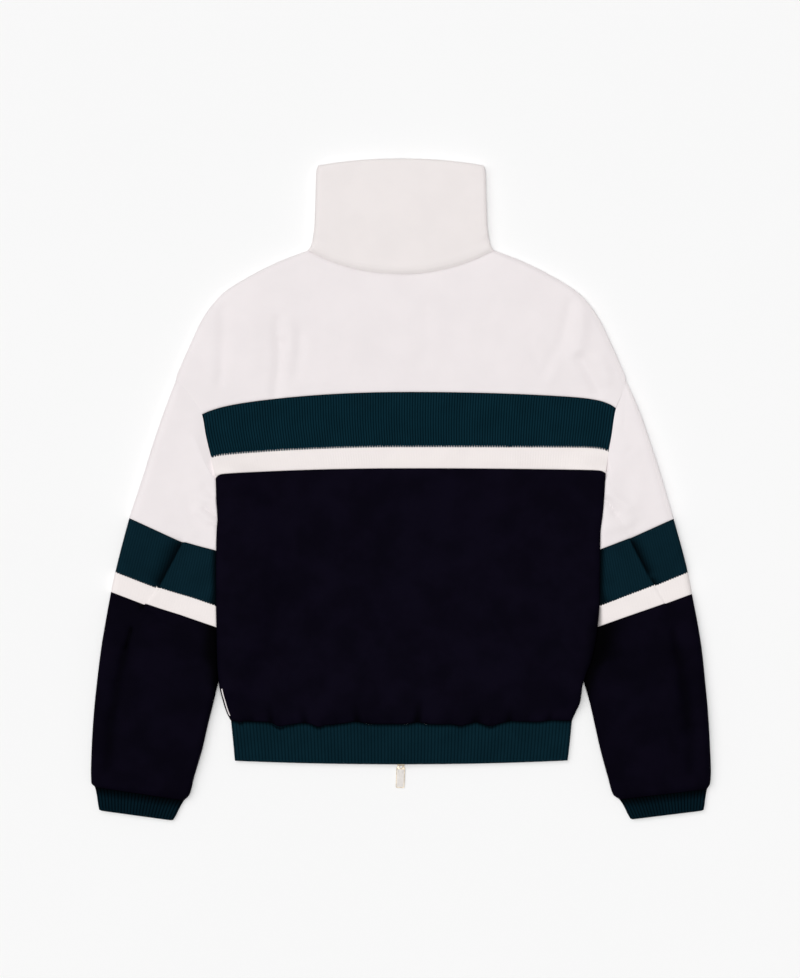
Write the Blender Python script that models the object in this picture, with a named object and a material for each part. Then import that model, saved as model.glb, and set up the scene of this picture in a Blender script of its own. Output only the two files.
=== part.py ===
"""Bomber jacket with a high collar, lying flat on its front with its back up.

Frame: metres, +Z up from the surface it lies on, +Y towards the collar, +X towards the wearer's right.
The origin is under the middle of the jacket. Sizes below are in millimetres.

Every cloth piece is a closed wall: a grid of outer points and a plainer grid of inner points.
The body is two layers, fronts below and back above, that meet along the sides at half height.
Its sides lie over the inner edges of the sleeves, which are flattened tubes.
"""
import math

import bmesh
import bpy
import numpy as np
from mathutils import Matrix

MM = 0.001

# Cloth
SHELL_WALL = 5.0          # shell, light wadding and lining
INSERT_WALL = 4.2         # knit insert or band on the same wadding
HEM_WALL = 3.2            # rib knit folded double
SEAM_GAP = 0.3            # between the edges of two pieces
LAYER_GAP = 0.3           # between two layers that lie on each other
SLIT = 0.6                # height left inside a flattened tube
SLIT_STEP = 0.006         # least share of a sleeve's width between two places inside it
LAND = 0.9                # straight part of an edge that is otherwise rounded
BODY_ROUND = 5.0          # radius of the body's rounded sides
BODY_HALF = 250.0         # half of the body's usual width, for places close to a side
TAB_GAP = 0.35            # the side tab over the back
TAB_THICKNESS = 0.8

# Ribs of the knit pieces
RIB_HEIGHT = 0.45
BODY_RIB_PITCH = 3.4
HEM_RIB_PITCH = 4.3
CUFF_RIB_PITCH = 5.1

# The sleeves' inner edges lie under the body's sides
TUCKED_SLEEVE = 8.0       # thickness of the sleeve under the body
SIDE_LIFT = 8.7           # height of the body's underside there
LIFT_MARGIN = 14.0        # how far the lift stays full past the sleeve's edge
LIFT_RAMP = 52.0          # and how far it then takes to come down
LIFT_START = (52.0, 22.0)         # it rises between these two places along Y
LIFT_END = (-254.0, -292.0)       # and falls between these
PRESS_REACH = 26.0        # the sleeve thins over this distance outside the body

# Zip. Heights are pairs, low then high.
ZIP_CHANNEL = 5.8         # half the width between the two fronts
CHAIN_HALF = 3.0
TAPE_HALF = 5.5
CHAIN_THICKNESS = 2.2
TAPE_THICKNESS = 1.0
CHAIN_MIDDLE = 2.1        # height of the chain's middle in the body
CHAIN_AT_SLIDER = 3.7     # and at the slider
HEM_FOOT_Y = -354.4       # lower edge of the hem at the centre
CHAIN_TOP_MARGIN = 3.0    # the chain stops short of the collar's top edge
SLIDER_HALF = 5.3
SLIDER_ABOVE = 10.0       # length of the slider above the hem's lower edge
SLIDER_BELOW = 4.0
SLIDER_CORNER = 1.6
INNER_PLATE_STEP = 0.5    # the inner plate is smaller all round
POST_HALF = 1.6
POST_LENGTH = 5.0
POST_FROM_END = 1.4
BRIDGE_WALL = 1.2         # the bridge's foot and its far side
BRIDGE_PLAY = 0.3         # clear of the pin along Y
OUTER_PLATE = (1.95, 2.6)
INNER_PLATE = (4.85, 5.6)
BRIDGE_HALF = 1.2
BRIDGE_HEIGHTS = (0.1, 0.45)
PIN_RADIUS = 0.45
PIN_HEIGHT = 1.1
PIN_Y = HEM_FOOT_Y - 1.7
PULL_LENGTH = 33.0
PULL_HALF = 5.6
PULL_THICKNESS = 1.2
PULL_EAR = 1.6            # width of each arm beside the window
PULL_WINDOW_HALF = 1.9
PULL_WINDOW_LENGTH = 5.4
PULL_CORNER = 1.6
PULL_TURN = math.radians(-5.0)    # the tab hangs a little to the side
SLIDER_BUMP = 2.6         # how far the hem's back rises over the slider
SLIDER_BUMP_HALF = 20.0

# Places across the back of each piece
BACK_COLUMNS = 41
LOWER_COLUMNS = 25        # and one at every gather
COLLAR_COLUMNS = 25

# Places under the collar and the hem, from the zip out towards the side, and inside the hem's back.
COLLAR_UNDER = np.array((0.0, 0.25, 0.5, 0.75, 0.955, 0.99))
HEM_UNDER = np.array((0.0, 0.2, 0.4, 0.6, 0.8, 0.985, 0.997))
HEM_INNER_HALF = np.array((0.045, 0.09, 0.15, 0.3, 0.5, 0.7, 0.85, 1.0))

GATHER_SPREAD = (-8, -4, 0, 4, 8)     # places across each gather
BAND_DRAWN_IN = 55.0      # the ribbed insert is this much narrower than the widest row
FOLD_HOLLOW = 0.8         # how much of a ridge shows on the cloth's inner side
TINY_SHARE = 0.002        # step along a row for its direction
TAB_ENDS = (0.265, 2.35)  # where the side tab starts and ends, in rows below the notch
TAB_OUTWARDS = (-0.6, 0.0, 0.8)

WHITE = (0.86, 0.83, 0.82)
CREAM = (0.87, 0.84, 0.79)
GREEN = (0.006, 0.022, 0.030)
NAVY = (0.003, 0.003, 0.010)
GOLD = (0.55, 0.40, 0.20)


def table(columns, *rows):
    """Named columns, each as one array."""
    return dict(zip(columns.split(), (np.array(column) for column in zip(*rows))))


# Rows across the body, from neck to hem. mid_y is the back's centre line and front_y the front's.
# round is 1 where the side is a rounded fold and 0 where a sleeve is sewn on.
# under scales the height at which the two layers meet, over scales the back's thickness.
BODY = table(
    "row left_x left_y mid_y right_x right_y front_y round under over",
    ("neck", -120.9, 312.2, 281.3, 120.9, 312.2, 241.0, 1, 1, 0.84),
    ("shoulder_1", -157.3, 298.2, 260.5, 157.3, 298.2, 224.1, 1, 1, 1),
    ("shoulder_2", -198.9, 277.4, 237.1, 198.9, 277.4, 205.9, 1, 1, 1),
    ("shoulder_3", -232.7, 255.3, 213.7, 232.7, 255.3, 189.0, 1, 1, 1),
    ("shoulder_4", -257.4, 224.1, 191.6, 257.4, 224.1, 174.7, 1, 1, 1),
    ("shoulder_5", -274.3, 189.0, 170.8, 274.3, 189.0, 161.7, 1, 1, 1),
    ("shoulder_6", -284.7, 165.6, 156.5, 284.7, 165.6, 151.3, 1, 1, 1),
    ("armhole_top", -292.5, 143.5, 144.8, 292.5, 143.5, 142.2, 1, 1, 1),
    ("armhole_1", -288.7, 139.2, 142.9, 291.1, 138.9, 140.6, 0, 1, 1),
    ("armhole_2", -274.3, 122.7, 135.7, 287.3, 126.6, 134.4, 0, 1, 1),
    ("band_top", -258.7, 104.5, 127.9, 279.5, 109.7, 127.9, 0, 1, 1),
    ("band_mid", -250.9, 74.6, 92.8, 274.3, 77.2, 92.8, 0, 1, 1),
    ("green_cream", -244.4, 46.0, 57.7, 270.4, 52.5, 57.7, 0, 1, 1),
    ("armpit_top", -240.5, 25.6, 34.0, 266.1, 26.9, 34.0, 0, 1, 1),
    ("armpit", -239.2, 20.0, 28.5, 265.2, 21.3, 28.5, 1, 1, 1),
    ("side_1", -240.5, -12.5, -12.5, 263.9, -12.5, -12.5, 1, 1, 1),
    ("side_2", -239.7, -51.5, -51.5, 259.4, -51.5, -51.5, 1, 1, 1),
    ("side_3", -240.5, -97.0, -97.0, 258.7, -97.0, -97.0, 1, 1, 1),
    ("side_4", -240.5, -142.5, -142.5, 258.1, -142.5, -142.5, 1, 1, 1),
    ("side_5", -239.8, -184.1, -184.1, 254.8, -184.1, -184.1, 1, 1, 1),
    ("side_6", -239.2, -220.5, -220.5, 247.7, -220.5, -220.5, 1, 1, 1),
    ("notch", -236.6, -251.7, -251.7, 237.9, -251.7, -251.7, 1, 1, 1),
    ("side_7", -231.4, -275.1, -275.1, 232.1, -275.1, -275.1, 1, 1, 1),
    ("side_8", -224.9, -290.7, -292.0, 224.9, -290.7, -292.0, 1, 0.94, 1),
    ("hem_seam", -221.0, -299.8, -304.3, 221.7, -299.8, -304.3, 1, 0.72, 0.74),
)
ARCH = 2.1                # power of the curve that every body, collar and hem row follows

# Rows across each sleeve below the armhole, from its outer edge to its inner one under the body.
# bow is how much of the armhole's curve the row keeps. thick is the whole tube's thickness.
SLEEVE = table(
    "row left_outer_x left_outer_y right_outer_x right_outer_y left_x left_y right_x right_y bow thick",
    ("armhole", 292.5, 143.5, 292.5, 143.5, 239.2, 20.0, 265.2, 21.3, 1, 10.3),
    ("upper_1", 301.6, 120.1, 303.4, 120.1, 236.6, 4.4, 262.6, 5.7, 0.7, 11.0),
    ("upper_2", 312.0, 91.5, 314.8, 91.5, 223.6, -8.6, 250.9, -12.5, 0.45, 11.8),
    ("upper_3", 325.0, 52.5, 328.0, 52.5, 211.9, -33.3, 232.7, -40.5, 0.25, 12.2),
    ("upper_4", 337.0, 13.5, 340.3, 13.5, 204.1, -61.9, 215.8, -69.8, 0.1, 12.2),
    ("band_top", 353.4, -36.2, 354.7, -37.0, 200.2, -93.4, 204.1, -99.4, 0, 11.6),
    ("green_cream", 371.6, -106.1, 371.9, -106.4, 211.9, -159.7, 211.9, -168.0, 0, 11.6),
    ("cream_navy", 377.2, -132.2, 377.4, -134.8, 219.7, -185.0, 219.7, -190.3, 0, 11.6),
    ("lower_1", 384.4, -171.1, 384.8, -172.5, 228.8, -217.9, 228.8, -220.0, 0, 12.2),
    ("lower_2", 390.4, -207.5, 390.6, -207.5, 236.6, -245.2, 236.6, -245.2, 0, 12.6),
    ("lower_3", 395.2, -246.5, 394.9, -246.5, 243.1, -272.5, 243.1, -272.5, 0, 12.6),
    ("lower_4", 399.5, -288.1, 399.4, -288.1, 250.9, -303.7, 250.9, -303.7, 0, 12.6),
    ("lower_5", 402.3, -331.0, 401.9, -331.0, 258.7, -337.5, 258.7, -337.5, 0, 12.6),
    ("lower_6", 403.4, -366.1, 403.2, -366.1, 269.1, -372.6, 269.1, -372.6, 0, 12.0),
    ("lower_7", 402.2, -380.7, 401.6, -381.7, 275.4, -396.2, 276.4, -396.2, 0, 10.4),
    ("cuff_seam", 397.5, -386.4, 397.5, -389.0, 282.7, -403.9, 284.7, -402.6, 0, 7.6),
    ("cuff_foot", 392.2, -414.4, 393.0, -415.3, 296.4, -428.3, 298.7, -427.2, 0, 6.6),
)

# Rows up the collar, from the neck seam to the folded top edge.
# middle is the height at which its two layers meet, over is the upper one's thickness, full its fullness.
COLLAR = table(
    "row half_x side_y back_y front_y middle over full",
    ("neck", 120.9, 312.2, 281.3, 241.0, 5.15, 4.2, 1),
    ("above_seam", 117.2, 318.0, 290.0, 254.0, 5.15, 5.5, 1),
    ("flare", 114.6, 328.0, 305.0, 281.0, 5.15, 5.9, 1),
    ("low", 112.5, 345.0, 330.0, 312.0, 5.8, 5.8, 1),
    ("half_up", 111.3, 375.0, 368.0, 358.0, 5.9, 5.8, 1),
    ("high", 110.5, 403.0, 402.0, 398.0, 5.9, 5.8, 1),
    ("below_fold", 110.2, 417.0, 425.0, 424.0, 5.9, 5.8, 0.94),
    ("top", 108.5, 422.0, 431.6, 431.0, 5.9, 5.8, 0.5),
)

# Rows down the hem. bump is how much of the rise over the slider the row takes.
HEM = table(
    "row left_x left_y mid_y right_x right_y bump",
    ("seam", -221.0, -299.8, -304.3, 221.7, -299.8, 0),
    ("slider_top", -217.6, -330.0, -337.0, 218.0, -330.0, 1),
    ("foot", -215.4, -351.0, HEM_FOOT_Y, 214.2, -350.2, 1),
)

# Soft folds in the back and the sleeves, each a ridge (height above 0) or a trough along a line.
FOLDS = table(
    "start_x start_y end_x end_y half_width height",
    (-230, 241, -233, 150, 11, -1.6),
    (-233, 150, -255, 111, 11, -1.3),
    (-161, 224, -157, 128, 11, -1.8),
    (-148, 234, -144, 169, 11, 1.8),
    (-135, 208, -139, 143, 10, -1.2),
    (233, 247, 235, 189, 11, -2.0),
    (235, 189, 259, 124, 12, -2.6),
    (250, 202, 267, 153, 11, 2.6),
    (267, 153, 284, 96, 11, 2.2),
    (214, 208, 209, 130, 12, 1.6),
    (200, 190, 187, 150, 11, -1.4),
    (31, 247, 35, 163, 13, -1.0),
    (-282, 125, -252, 25, 8, -1.6),
    (292, 137, 292, 78, 8, -1.6),
    (-268, -10, -238, -22, 9, -2.2),
    (-262, -40, -238, -46, 9, -2.0),
    (-275, -24, -240, -34, 9, 2.0),
    (264, -17, 311, -30, 10, -3.0),
    (267, -42, 317, -41, 10, 2.4),
    (-285, -67, -316, -127, 9, -2.6),
    (-270, -72, -300, -134, 11, 1.6),
    (296, -64, 332, -124, 9, -2.4),
    (-348, -181, -372, -266, 10, -2.6),
    (-372, -266, -385, -364, 10, -2.4),
    (357, -181, 366, -234, 10, -2.4),
    (366, -234, 377, -299, 10, -2.4),
    (377, -299, 373, -373, 10, -2.2),
    (265, -201, 311, -247, 12, -1.8),
    (-209, -272, -173, -298, 10, -1.8),
)

# Gathers where the navy back is drawn in to the hem: place, reach up from the seam, half width and depth.
GATHERS = table(
    "x reach half_width depth",
    (-194, 16, 6, 1.8),
    (-169, 22, 7, 2.4),
    (-125, 20, 6, 2.2),
    (-56, 24, 6, 2.4),
    (21, 30, 7, 2.8),
    (97, 20, 9, 2.0),
    (140, 22, 6, 2.4),
    (192, 20, 6, 2.2),
)


def smooth(t):
    """0 to 1 with level ends."""
    t = np.clip(t, 0, 1)
    return t * t * (3 - 2 * t)


def row_number(rows, name):
    return int(np.flatnonzero(rows["row"] == name)[0])


def place(rows, column, at):
    """A column's value at fractional row numbers."""
    return np.interp(at, np.arange(len(rows["row"])), rows[column])


def quarter_round(distance, radius):
    """Height share of a rounded edge at this distance in from it."""
    return np.sqrt(np.clip(1 - (1 - np.clip(distance / radius, 0, 1)) ** 2, 0, 1))


def fold_height(x, y):
    """Sum of the folds: each is a bell across its line that fades at the line's ends."""
    total = np.zeros(np.broadcast(x, y).shape)
    for start_x, start_y, end_x, end_y, half_width, height in zip(*FOLDS.values()):
        along = np.array((end_x - start_x, end_y - start_y), float)
        length = np.hypot(*along)
        along /= length
        reach = (x - start_x) * along[0] + (y - start_y) * along[1]
        across = (x - start_x) * along[1] - (y - start_y) * along[0]
        fade = smooth((reach + half_width) / (2 * half_width))
        fade = fade * smooth((length + half_width - reach) / (2 * half_width))
        total = total + height * fade * np.exp(-((across / half_width) ** 2))
    return total


def gather_depth(x, y):
    """Sum of the gathers: wedges that start at the hem seam and close upwards."""
    total = np.zeros(np.broadcast(x, y).shape)
    seam_y = BODY["mid_y"][-1]
    for place_x, reach, half_width, depth in zip(*GATHERS.values()):
        up = np.clip(1 - (y - seam_y) / reach, 0, 1)
        total = total + depth * up * np.exp(-(((x - place_x) / half_width) ** 2))
    return total


def hand(side):
    """The wearer's left is on the -X side."""
    return "left" if side < 0 else "right"


def sleeve_inner_x(side, y):
    """Where the sleeve's inner edge lies at this y."""
    return side * np.interp(-y, -SLEEVE[hand(side) + "_y"], SLEEVE[hand(side) + "_x"])


def body_side_x(side, y):
    return np.interp(-y, -BODY[hand(side) + "_y"], BODY[hand(side) + "_x"])


def tucked(y):
    """1 where the sleeves lie under the body's sides, along Y."""
    rise = smooth((LIFT_START[0] - y) / (LIFT_START[0] - LIFT_START[1]))
    fall = smooth((LIFT_END[0] - y) / (LIFT_END[0] - LIFT_END[1]))
    return rise * (1 - fall)


def body_lift(x, y):
    """Height of the body's underside: full over a sleeve's edge, then a soft ramp down to the floor."""
    lift = np.zeros(np.broadcast(x, y).shape)
    for side in (-1, 1):
        past_edge = side * (sleeve_inner_x(side, y) - x) - LIFT_MARGIN
        lift = np.maximum(lift, 1 - smooth(past_edge / LIFT_RAMP))
    return SIDE_LIFT * lift * tucked(y)


def body_plan(at, across, front):
    """Plan points of the body: rows at the given numbers, across from -1 (left side) to 1 (right)."""
    left_x = place(BODY, "left_x", at)
    right_x = place(BODY, "right_x", at)
    mid_y = place(BODY, "front_y" if front else "mid_y", at)
    x = left_x + (right_x - left_x) * (across + 1) / 2
    end_y = np.where(across < 0, place(BODY, "left_y", at), place(BODY, "right_y", at))
    y = mid_y + (end_y - mid_y) * np.abs(across) ** ARCH
    return x, y


def moved_edge(x, y, edge, inside):
    """Moves one edge of a plan grid inwards by half of the seam gap, square to the edge."""
    run_x, run_y = x[inside] - x[edge], y[inside] - y[edge]
    tangent_x, tangent_y = np.gradient(x[edge]), np.gradient(y[edge])
    size = np.hypot(tangent_x, tangent_y)
    normal_x, normal_y = -tangent_y / size, tangent_x / size
    step = SEAM_GAP / 2 * np.sign(normal_x * run_x + normal_y * run_y)
    x[edge] += step * normal_x
    y[edge] += step * normal_y


def inset(x, y, sides=(False, False)):
    """Draws a plan grid's first and last rows in, and its side columns where a sleeve is sewn on."""
    x, y = x.copy(), y.copy()
    every = slice(None)
    moved_edge(x, y, (0, every), (1, every))
    moved_edge(x, y, (-1, every), (-2, every))
    if sides[0]:
        moved_edge(x, y, (every, 0), (every, 1))
    if sides[1]:
        moved_edge(x, y, (every, -1), (every, -2))
    return x, y


def edge_columns(count, edge=(0.0, 1.0, 3.4, 6.0), half=BODY_HALF):
    """Places across a panel from -1 to 1: a few close to each rounded side, the rest even."""
    near = -1 + np.array(edge) / half
    middle = np.linspace(near[-1], -near[-1], count - 2 * (len(near) - 1))
    return np.concatenate([near[:-1], middle, -near[:-1][::-1]])


def mirrored(distances, half=BODY_HALF):
    """Places across a panel at these distances from either side."""
    near = -1 + np.array(distances) / half
    return np.concatenate([near, -near[::-1]])


INNER_COLUMNS = mirrored((0.0, 1.0, 3.4, 6.0, 18.0, 34.0, 50.0, 66.0, 84.0, 108.0, 140.0, 180.0, 225.0))


def rib_columns(pitch, width):
    """Two places a rib, with a whole number of ribs."""
    return np.linspace(-1, 1, 2 * round(width / pitch) + 1)


def rib_profile(columns):
    """Crests at every second place."""
    return RIB_HEIGHT * (np.arange(len(columns)) % 2)


def grid_triangles(index, flip):
    """Two triangles a cell, always cut the same way."""
    a, b = index[:-1, :-1].ravel(), index[:-1, 1:].ravel()
    c, d = index[1:, 1:].ravel(), index[1:, :-1].ravel()
    faces = np.concatenate([np.stack([a, b, c], 1), np.stack([a, c, d], 1)])
    return faces[:, ::-1] if flip else faces


def shares(run, points):
    """Share of the whole length reached at each point of a run."""
    steps = np.linalg.norm(np.diff(points[run], axis=0), axis=1)
    return np.concatenate([[0], np.cumsum(steps) / steps.sum()])


def bridge(edge, other, points):
    """Triangles between two runs of points that start and end together, taken by length along each."""
    here, there = shares(edge, points), shares(other, points)
    faces = []
    i = j = 0
    while i < len(edge) - 1 or j < len(other) - 1:
        if j == len(other) - 1 or (i < len(edge) - 1 and here[i + 1] <= there[j + 1]):
            faces.append((edge[i], edge[i + 1], other[j]))
            i += 1
        else:
            faces.append((edge[i], other[j + 1], other[j]))
            j += 1
    return np.array(faces)


def material(name, color, roughness, metallic=0.0):
    made = bpy.data.materials.new(name)
    made.use_nodes = True
    shader = made.node_tree.nodes["Principled BSDF"]
    shader.inputs["Base Color"].default_value = (*color, 1)
    shader.inputs["Roughness"].default_value = roughness
    shader.inputs["Metallic"].default_value = metallic
    return made


def add_mesh(name, points, faces, look, parts):
    """One closed mesh object from points in millimetres, its faces turned outwards."""
    mesh = bpy.data.meshes.new(name)
    mesh.from_pydata((points * MM).tolist(), [], faces.tolist())
    shape = bmesh.new()
    shape.from_mesh(mesh)
    bmesh.ops.recalc_face_normals(shape, faces=shape.faces)
    shape.to_mesh(mesh)
    shape.free()
    mesh.materials.append(look)
    mesh.shade_smooth()
    mesh.set_sharp_from_angle(angle=math.radians(35))
    made = bpy.data.objects.new(name, mesh)
    parts.objects.link(made)
    return made


def add_wall(name, outer, inner, look, parts, closed=False):
    """A cloth piece: outer and inner grids (rows, columns, 3) joined round their edges.

    A closed wall is a tube, whose last column is the first one again.
    """
    outer_index = np.arange(outer.shape[0] * outer.shape[1]).reshape(outer.shape[:2])
    inner_index = outer_index.size + np.arange(inner.shape[0] * inner.shape[1]).reshape(inner.shape[:2])
    points = np.concatenate([outer.reshape(-1, 3), inner.reshape(-1, 3)])
    runs = [(outer_index[0], inner_index[0]), (outer_index[-1], inner_index[-1])]
    if not closed:
        runs.append((outer_index[:, 0], inner_index[:, 0]))
        runs.append((outer_index[:, -1], inner_index[:, -1]))
    faces = [grid_triangles(outer_index, False), grid_triangles(inner_index, True)]
    faces = np.concatenate(faces + [bridge(edge, other, points) for edge, other in runs])
    if closed:
        same = np.arange(len(points))
        for index in (outer_index, inner_index):
            same[index[:, -1]] = index[:, 0]
        kept, faces = np.unique(same[faces], return_inverse=True)
        faces = faces.reshape(-1, 3)
        points = points[kept]
    return add_mesh(name, points, faces, look, parts)


def body_rows(first, last):
    """Row numbers from one named row of the body to another, as a column."""
    return np.arange(row_number(BODY, first), row_number(BODY, last) + 1.0)[:, None]


def meeting_height(x, y, at, wall):
    """Where the fronts end and the back begins."""
    return body_lift(x, y) + wall * place(BODY, "under", at) + LAYER_GAP / 2


def side_share(x, at):
    """Rounding of the body's wall next to its sides."""
    distance = np.minimum(x - place(BODY, "left_x", at), place(BODY, "right_x", at) - x)
    return quarter_round(distance, BODY_ROUND)


def back_points(at, columns, wall, ribs=0):
    """Outer points of the back at these rows and places across."""
    x, y = body_plan(at, columns[None, :], front=False)
    bottom = meeting_height(x, y, at, wall) + LAYER_GAP / 2
    height = wall * place(BODY, "over", at) + fold_height(x, y) - gather_depth(x, y)
    share = 1 - place(BODY, "round", at) * (1 - side_share(x, at))
    z = bottom + LAND + (height - LAND) * share + ribs * side_share(x, at)
    return np.stack([x, y, z], -1)


def with_plan(grid, sewn):
    """The grid with its plan drawn in at the seams."""
    x, y = inset(grid[..., 0], grid[..., 1], sides=sewn)
    return np.stack([x, y, grid[..., 2]], -1)


def add_back(name, first, last, wall, look, parts, columns, ribs):
    """A back panel between two named rows."""
    at = body_rows(first, last)
    sewn = (place(BODY, "round", at).min() < 1,) * 2
    outer = back_points(at, columns, wall, ribs)
    x, y = body_plan(at, INNER_COLUMNS[None, :], front=False)
    puff = np.maximum(fold_height(x, y), 0) * FOLD_HOLLOW * side_share(x, at)
    inner = np.stack([x, y, meeting_height(x, y, at, wall) + LAYER_GAP / 2 + puff], -1)
    return add_wall(name, with_plan(outer, sewn), with_plan(inner, sewn), look, parts)


def add_front(name, side, first, last, wall, look, parts):
    """A front panel on one side of the zip. Its outer face is the underside."""
    at = body_rows(first, last)
    x, y = body_plan(at, INNER_COLUMNS[None, :], front=True)
    keep = (side * x > 2 * ZIP_CHANNEL).all(0)
    edge_x = np.full((len(at), 1), side * ZIP_CHANNEL)
    edge_y = place(BODY, "front_y", at)
    x = np.concatenate([edge_x, x[:, keep]][::side], 1)
    y = np.concatenate([edge_y, y[:, keep]][::side], 1)
    meeting = meeting_height(x, y, at, wall) - LAYER_GAP / 2
    share = 1 - place(BODY, "round", at) * (1 - side_share(x, at))
    under = meeting - LAND - (wall * place(BODY, "under", at) - LAND) * share
    is_sewn = place(BODY, "round", at).min() < 1
    sewn = (is_sewn and side < 0, is_sewn and side > 0)
    outer = with_plan(np.stack([x, y, under], -1), sewn)
    inner = with_plan(np.stack([x, y, meeting], -1), sewn)
    return add_wall(name, outer, inner, look, parts)


def armhole(side, across):
    """Plan points of the armhole seam, from the shoulder's outer edge (0) to the armpit (1)."""
    rows = slice(row_number(BODY, "armhole_top"), row_number(BODY, "armpit") + 1)
    line = np.stack([BODY[hand(side) + "_x"][rows], BODY[hand(side) + "_y"][rows]], 1)
    reached = shares(np.arange(len(line)), line)
    points = np.stack([np.interp(across, reached, line[:, i]) for i in (0, 1)], -1)
    straight = line[0] + (line[-1] - line[0]) * np.asarray(across)[..., None]
    return reached, points - straight


def sleeve_places(side):
    """Places across a sleeve from its outer edge (0) to its inner one, with each corner of the armhole."""
    corners = armhole(side, np.array(0.0))[0]
    between = (corners[3:] + corners[2:-1]) / 2
    edge = np.array((0.006, 0.016))
    return np.unique(np.concatenate([corners, between, edge, 1 - edge]))


def sleeve_plan(side, at, across):
    """Plan points of a sleeve: rows at the given numbers, across from its outer edge (0) to 1."""
    at = at[:, None]
    outer_x, outer_y = side * place(SLEEVE, hand(side) + "_outer_x", at), place(SLEEVE, hand(side) + "_outer_y", at)
    inner_x, inner_y = side * place(SLEEVE, hand(side) + "_x", at), place(SLEEVE, hand(side) + "_y", at)
    bow = place(SLEEVE, "bow", at)
    curve = armhole(side, across)[1]
    x = outer_x + (inner_x - outer_x) * across + bow * curve[:, 0]
    y = outer_y + (inner_y - outer_y) * across + bow * curve[:, 1]
    return x, y


def sleeve_inset(side, at, across):
    """Plan points with the two end rows drawn in by half of the seam gap, square to the row."""
    x, y = sleeve_plan(side, at, across)
    before = sleeve_plan(side, at, np.clip(across - TINY_SHARE, 0, 1))
    after = sleeve_plan(side, at, np.clip(across + TINY_SHARE, 0, 1))
    tangent_x, tangent_y = after[0] - before[0], after[1] - before[1]
    size = np.hypot(tangent_x, tangent_y)
    for row, turn in ((0, side), (-1, -side)):
        x[row] -= SEAM_GAP / 2 * turn * tangent_y[row] / size[row]
        y[row] += SEAM_GAP / 2 * turn * tangent_x[row] / size[row]
    return x, y


def sleeve_heights(side, x, y, at):
    """Whole thickness of the sleeve, pressed thin beside and under the body, and how free it is."""
    free = place(SLEEVE, "thick", at)[:, None]
    outside = side * (x - body_side_x(side, y))
    loose = 1 - tucked(y) * (1 - smooth(outside / PRESS_REACH))
    return TUCKED_SLEEVE + (free - TUCKED_SLEEVE) * loose, loose


def add_sleeve_piece(name, side, first, last, look, parts, wall, pitch=None):
    """One length of a sleeve, as a flattened tube that rests on its underside."""
    at = np.arange(row_number(SLEEVE, first), row_number(SLEEVE, last) + 1.0)
    ends_x, ends_y = sleeve_plan(side, at, np.array((0.0, 1.0)))
    width = np.hypot(ends_x[:, 1:] - ends_x[:, :1], ends_y[:, 1:] - ends_y[:, :1])
    corners = sleeve_places(side)
    across = (rib_columns(pitch, width[0, 0]) + 1) / 2 if pitch else corners
    ribs = rib_profile(across) if pitch else np.zeros(len(across))
    below = corners[1:-1][::-1]
    run = np.concatenate([across, below, across[:1]])
    upper = np.arange(len(run)) < len(across)
    x, y = sleeve_inset(side, at, run)
    thick, loose = sleeve_heights(side, x, y, at)
    share = quarter_round(np.minimum(run, 1 - run) * width, thick / 2)
    relief = np.zeros(len(run))
    relief[:len(across)] = ribs
    relief = (relief + fold_height(x, y) * loose) * upper
    z = thick / 2 * (1 + np.where(upper, 1, -1) * share) + relief * share
    outer = np.stack([x, y, z], -1)

    reach = wall / width.min()
    clear = reach + SLIT_STEP
    slit = corners[(corners > clear) & (corners < 1 - clear)]
    slit = np.concatenate([[reach], slit, [1 - reach], slit[::-1], [reach]])
    turn = int(np.argmax(slit))
    gap = np.where(np.arange(len(slit)) < turn, 1, -1) * SLIT / 2
    gap[[0, turn, -1]] = 0
    slit_x, slit_y = sleeve_inset(side, at, slit)
    slit_z = sleeve_heights(side, slit_x, slit_y, at)[0] / 2 + gap
    inner = np.stack([slit_x, slit_y, slit_z], -1)
    return add_wall(name, outer, inner, look, parts, closed=True)


def band_run(over, under):
    """Layers and places round a band that is open at the zip: under its left half, over, under its right.

    The places under it count from the zip's edge (0) out to the side.
    """
    layers = np.concatenate([np.full(len(under), -1), np.full(len(over), 1), np.full(len(under), -1)])
    sides = np.concatenate([np.full(len(under), -1), np.where(over < 0, -1, 1), np.full(len(under), 1)])
    places = np.concatenate([under, np.abs(over), under[::-1]])
    return layers, sides, places


def band_plan(rows, layers, sides, places, over_y, under_y):
    """Plan points of a band, and how far each is from its side."""
    left, right = rows["left_x"][:, None], rows["right_x"][:, None]
    middle, half = (left + right) / 2, (right - left) / 2
    edge = np.where(sides < 0, left, right)
    from_zip = sides * ZIP_CHANNEL
    x = np.where(layers > 0, middle + sides * half * places, from_zip + (edge - from_zip) * places)
    end_y = np.where(sides < 0, rows["left_y"][:, None], rows["right_y"][:, None])
    centre = np.where(layers > 0, rows[over_y][:, None], rows[under_y][:, None])
    y = centre + (end_y - centre) * np.abs((x - middle) / half) ** ARCH
    return x, y, np.abs(edge - x)


def add_band(name, outer, inner, look, parts):
    """A band from two grids of (x, y, z), whose first row is drawn in where it meets the body."""
    grids = []
    for x, y, z in (outer, inner):
        y = y.copy()
        y[0] += np.sign(y[1] - y[0]) * SEAM_GAP / 2
        grids.append(np.stack([x, y, z], -1))
    return add_wall(name, *grids, look, parts)


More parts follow.
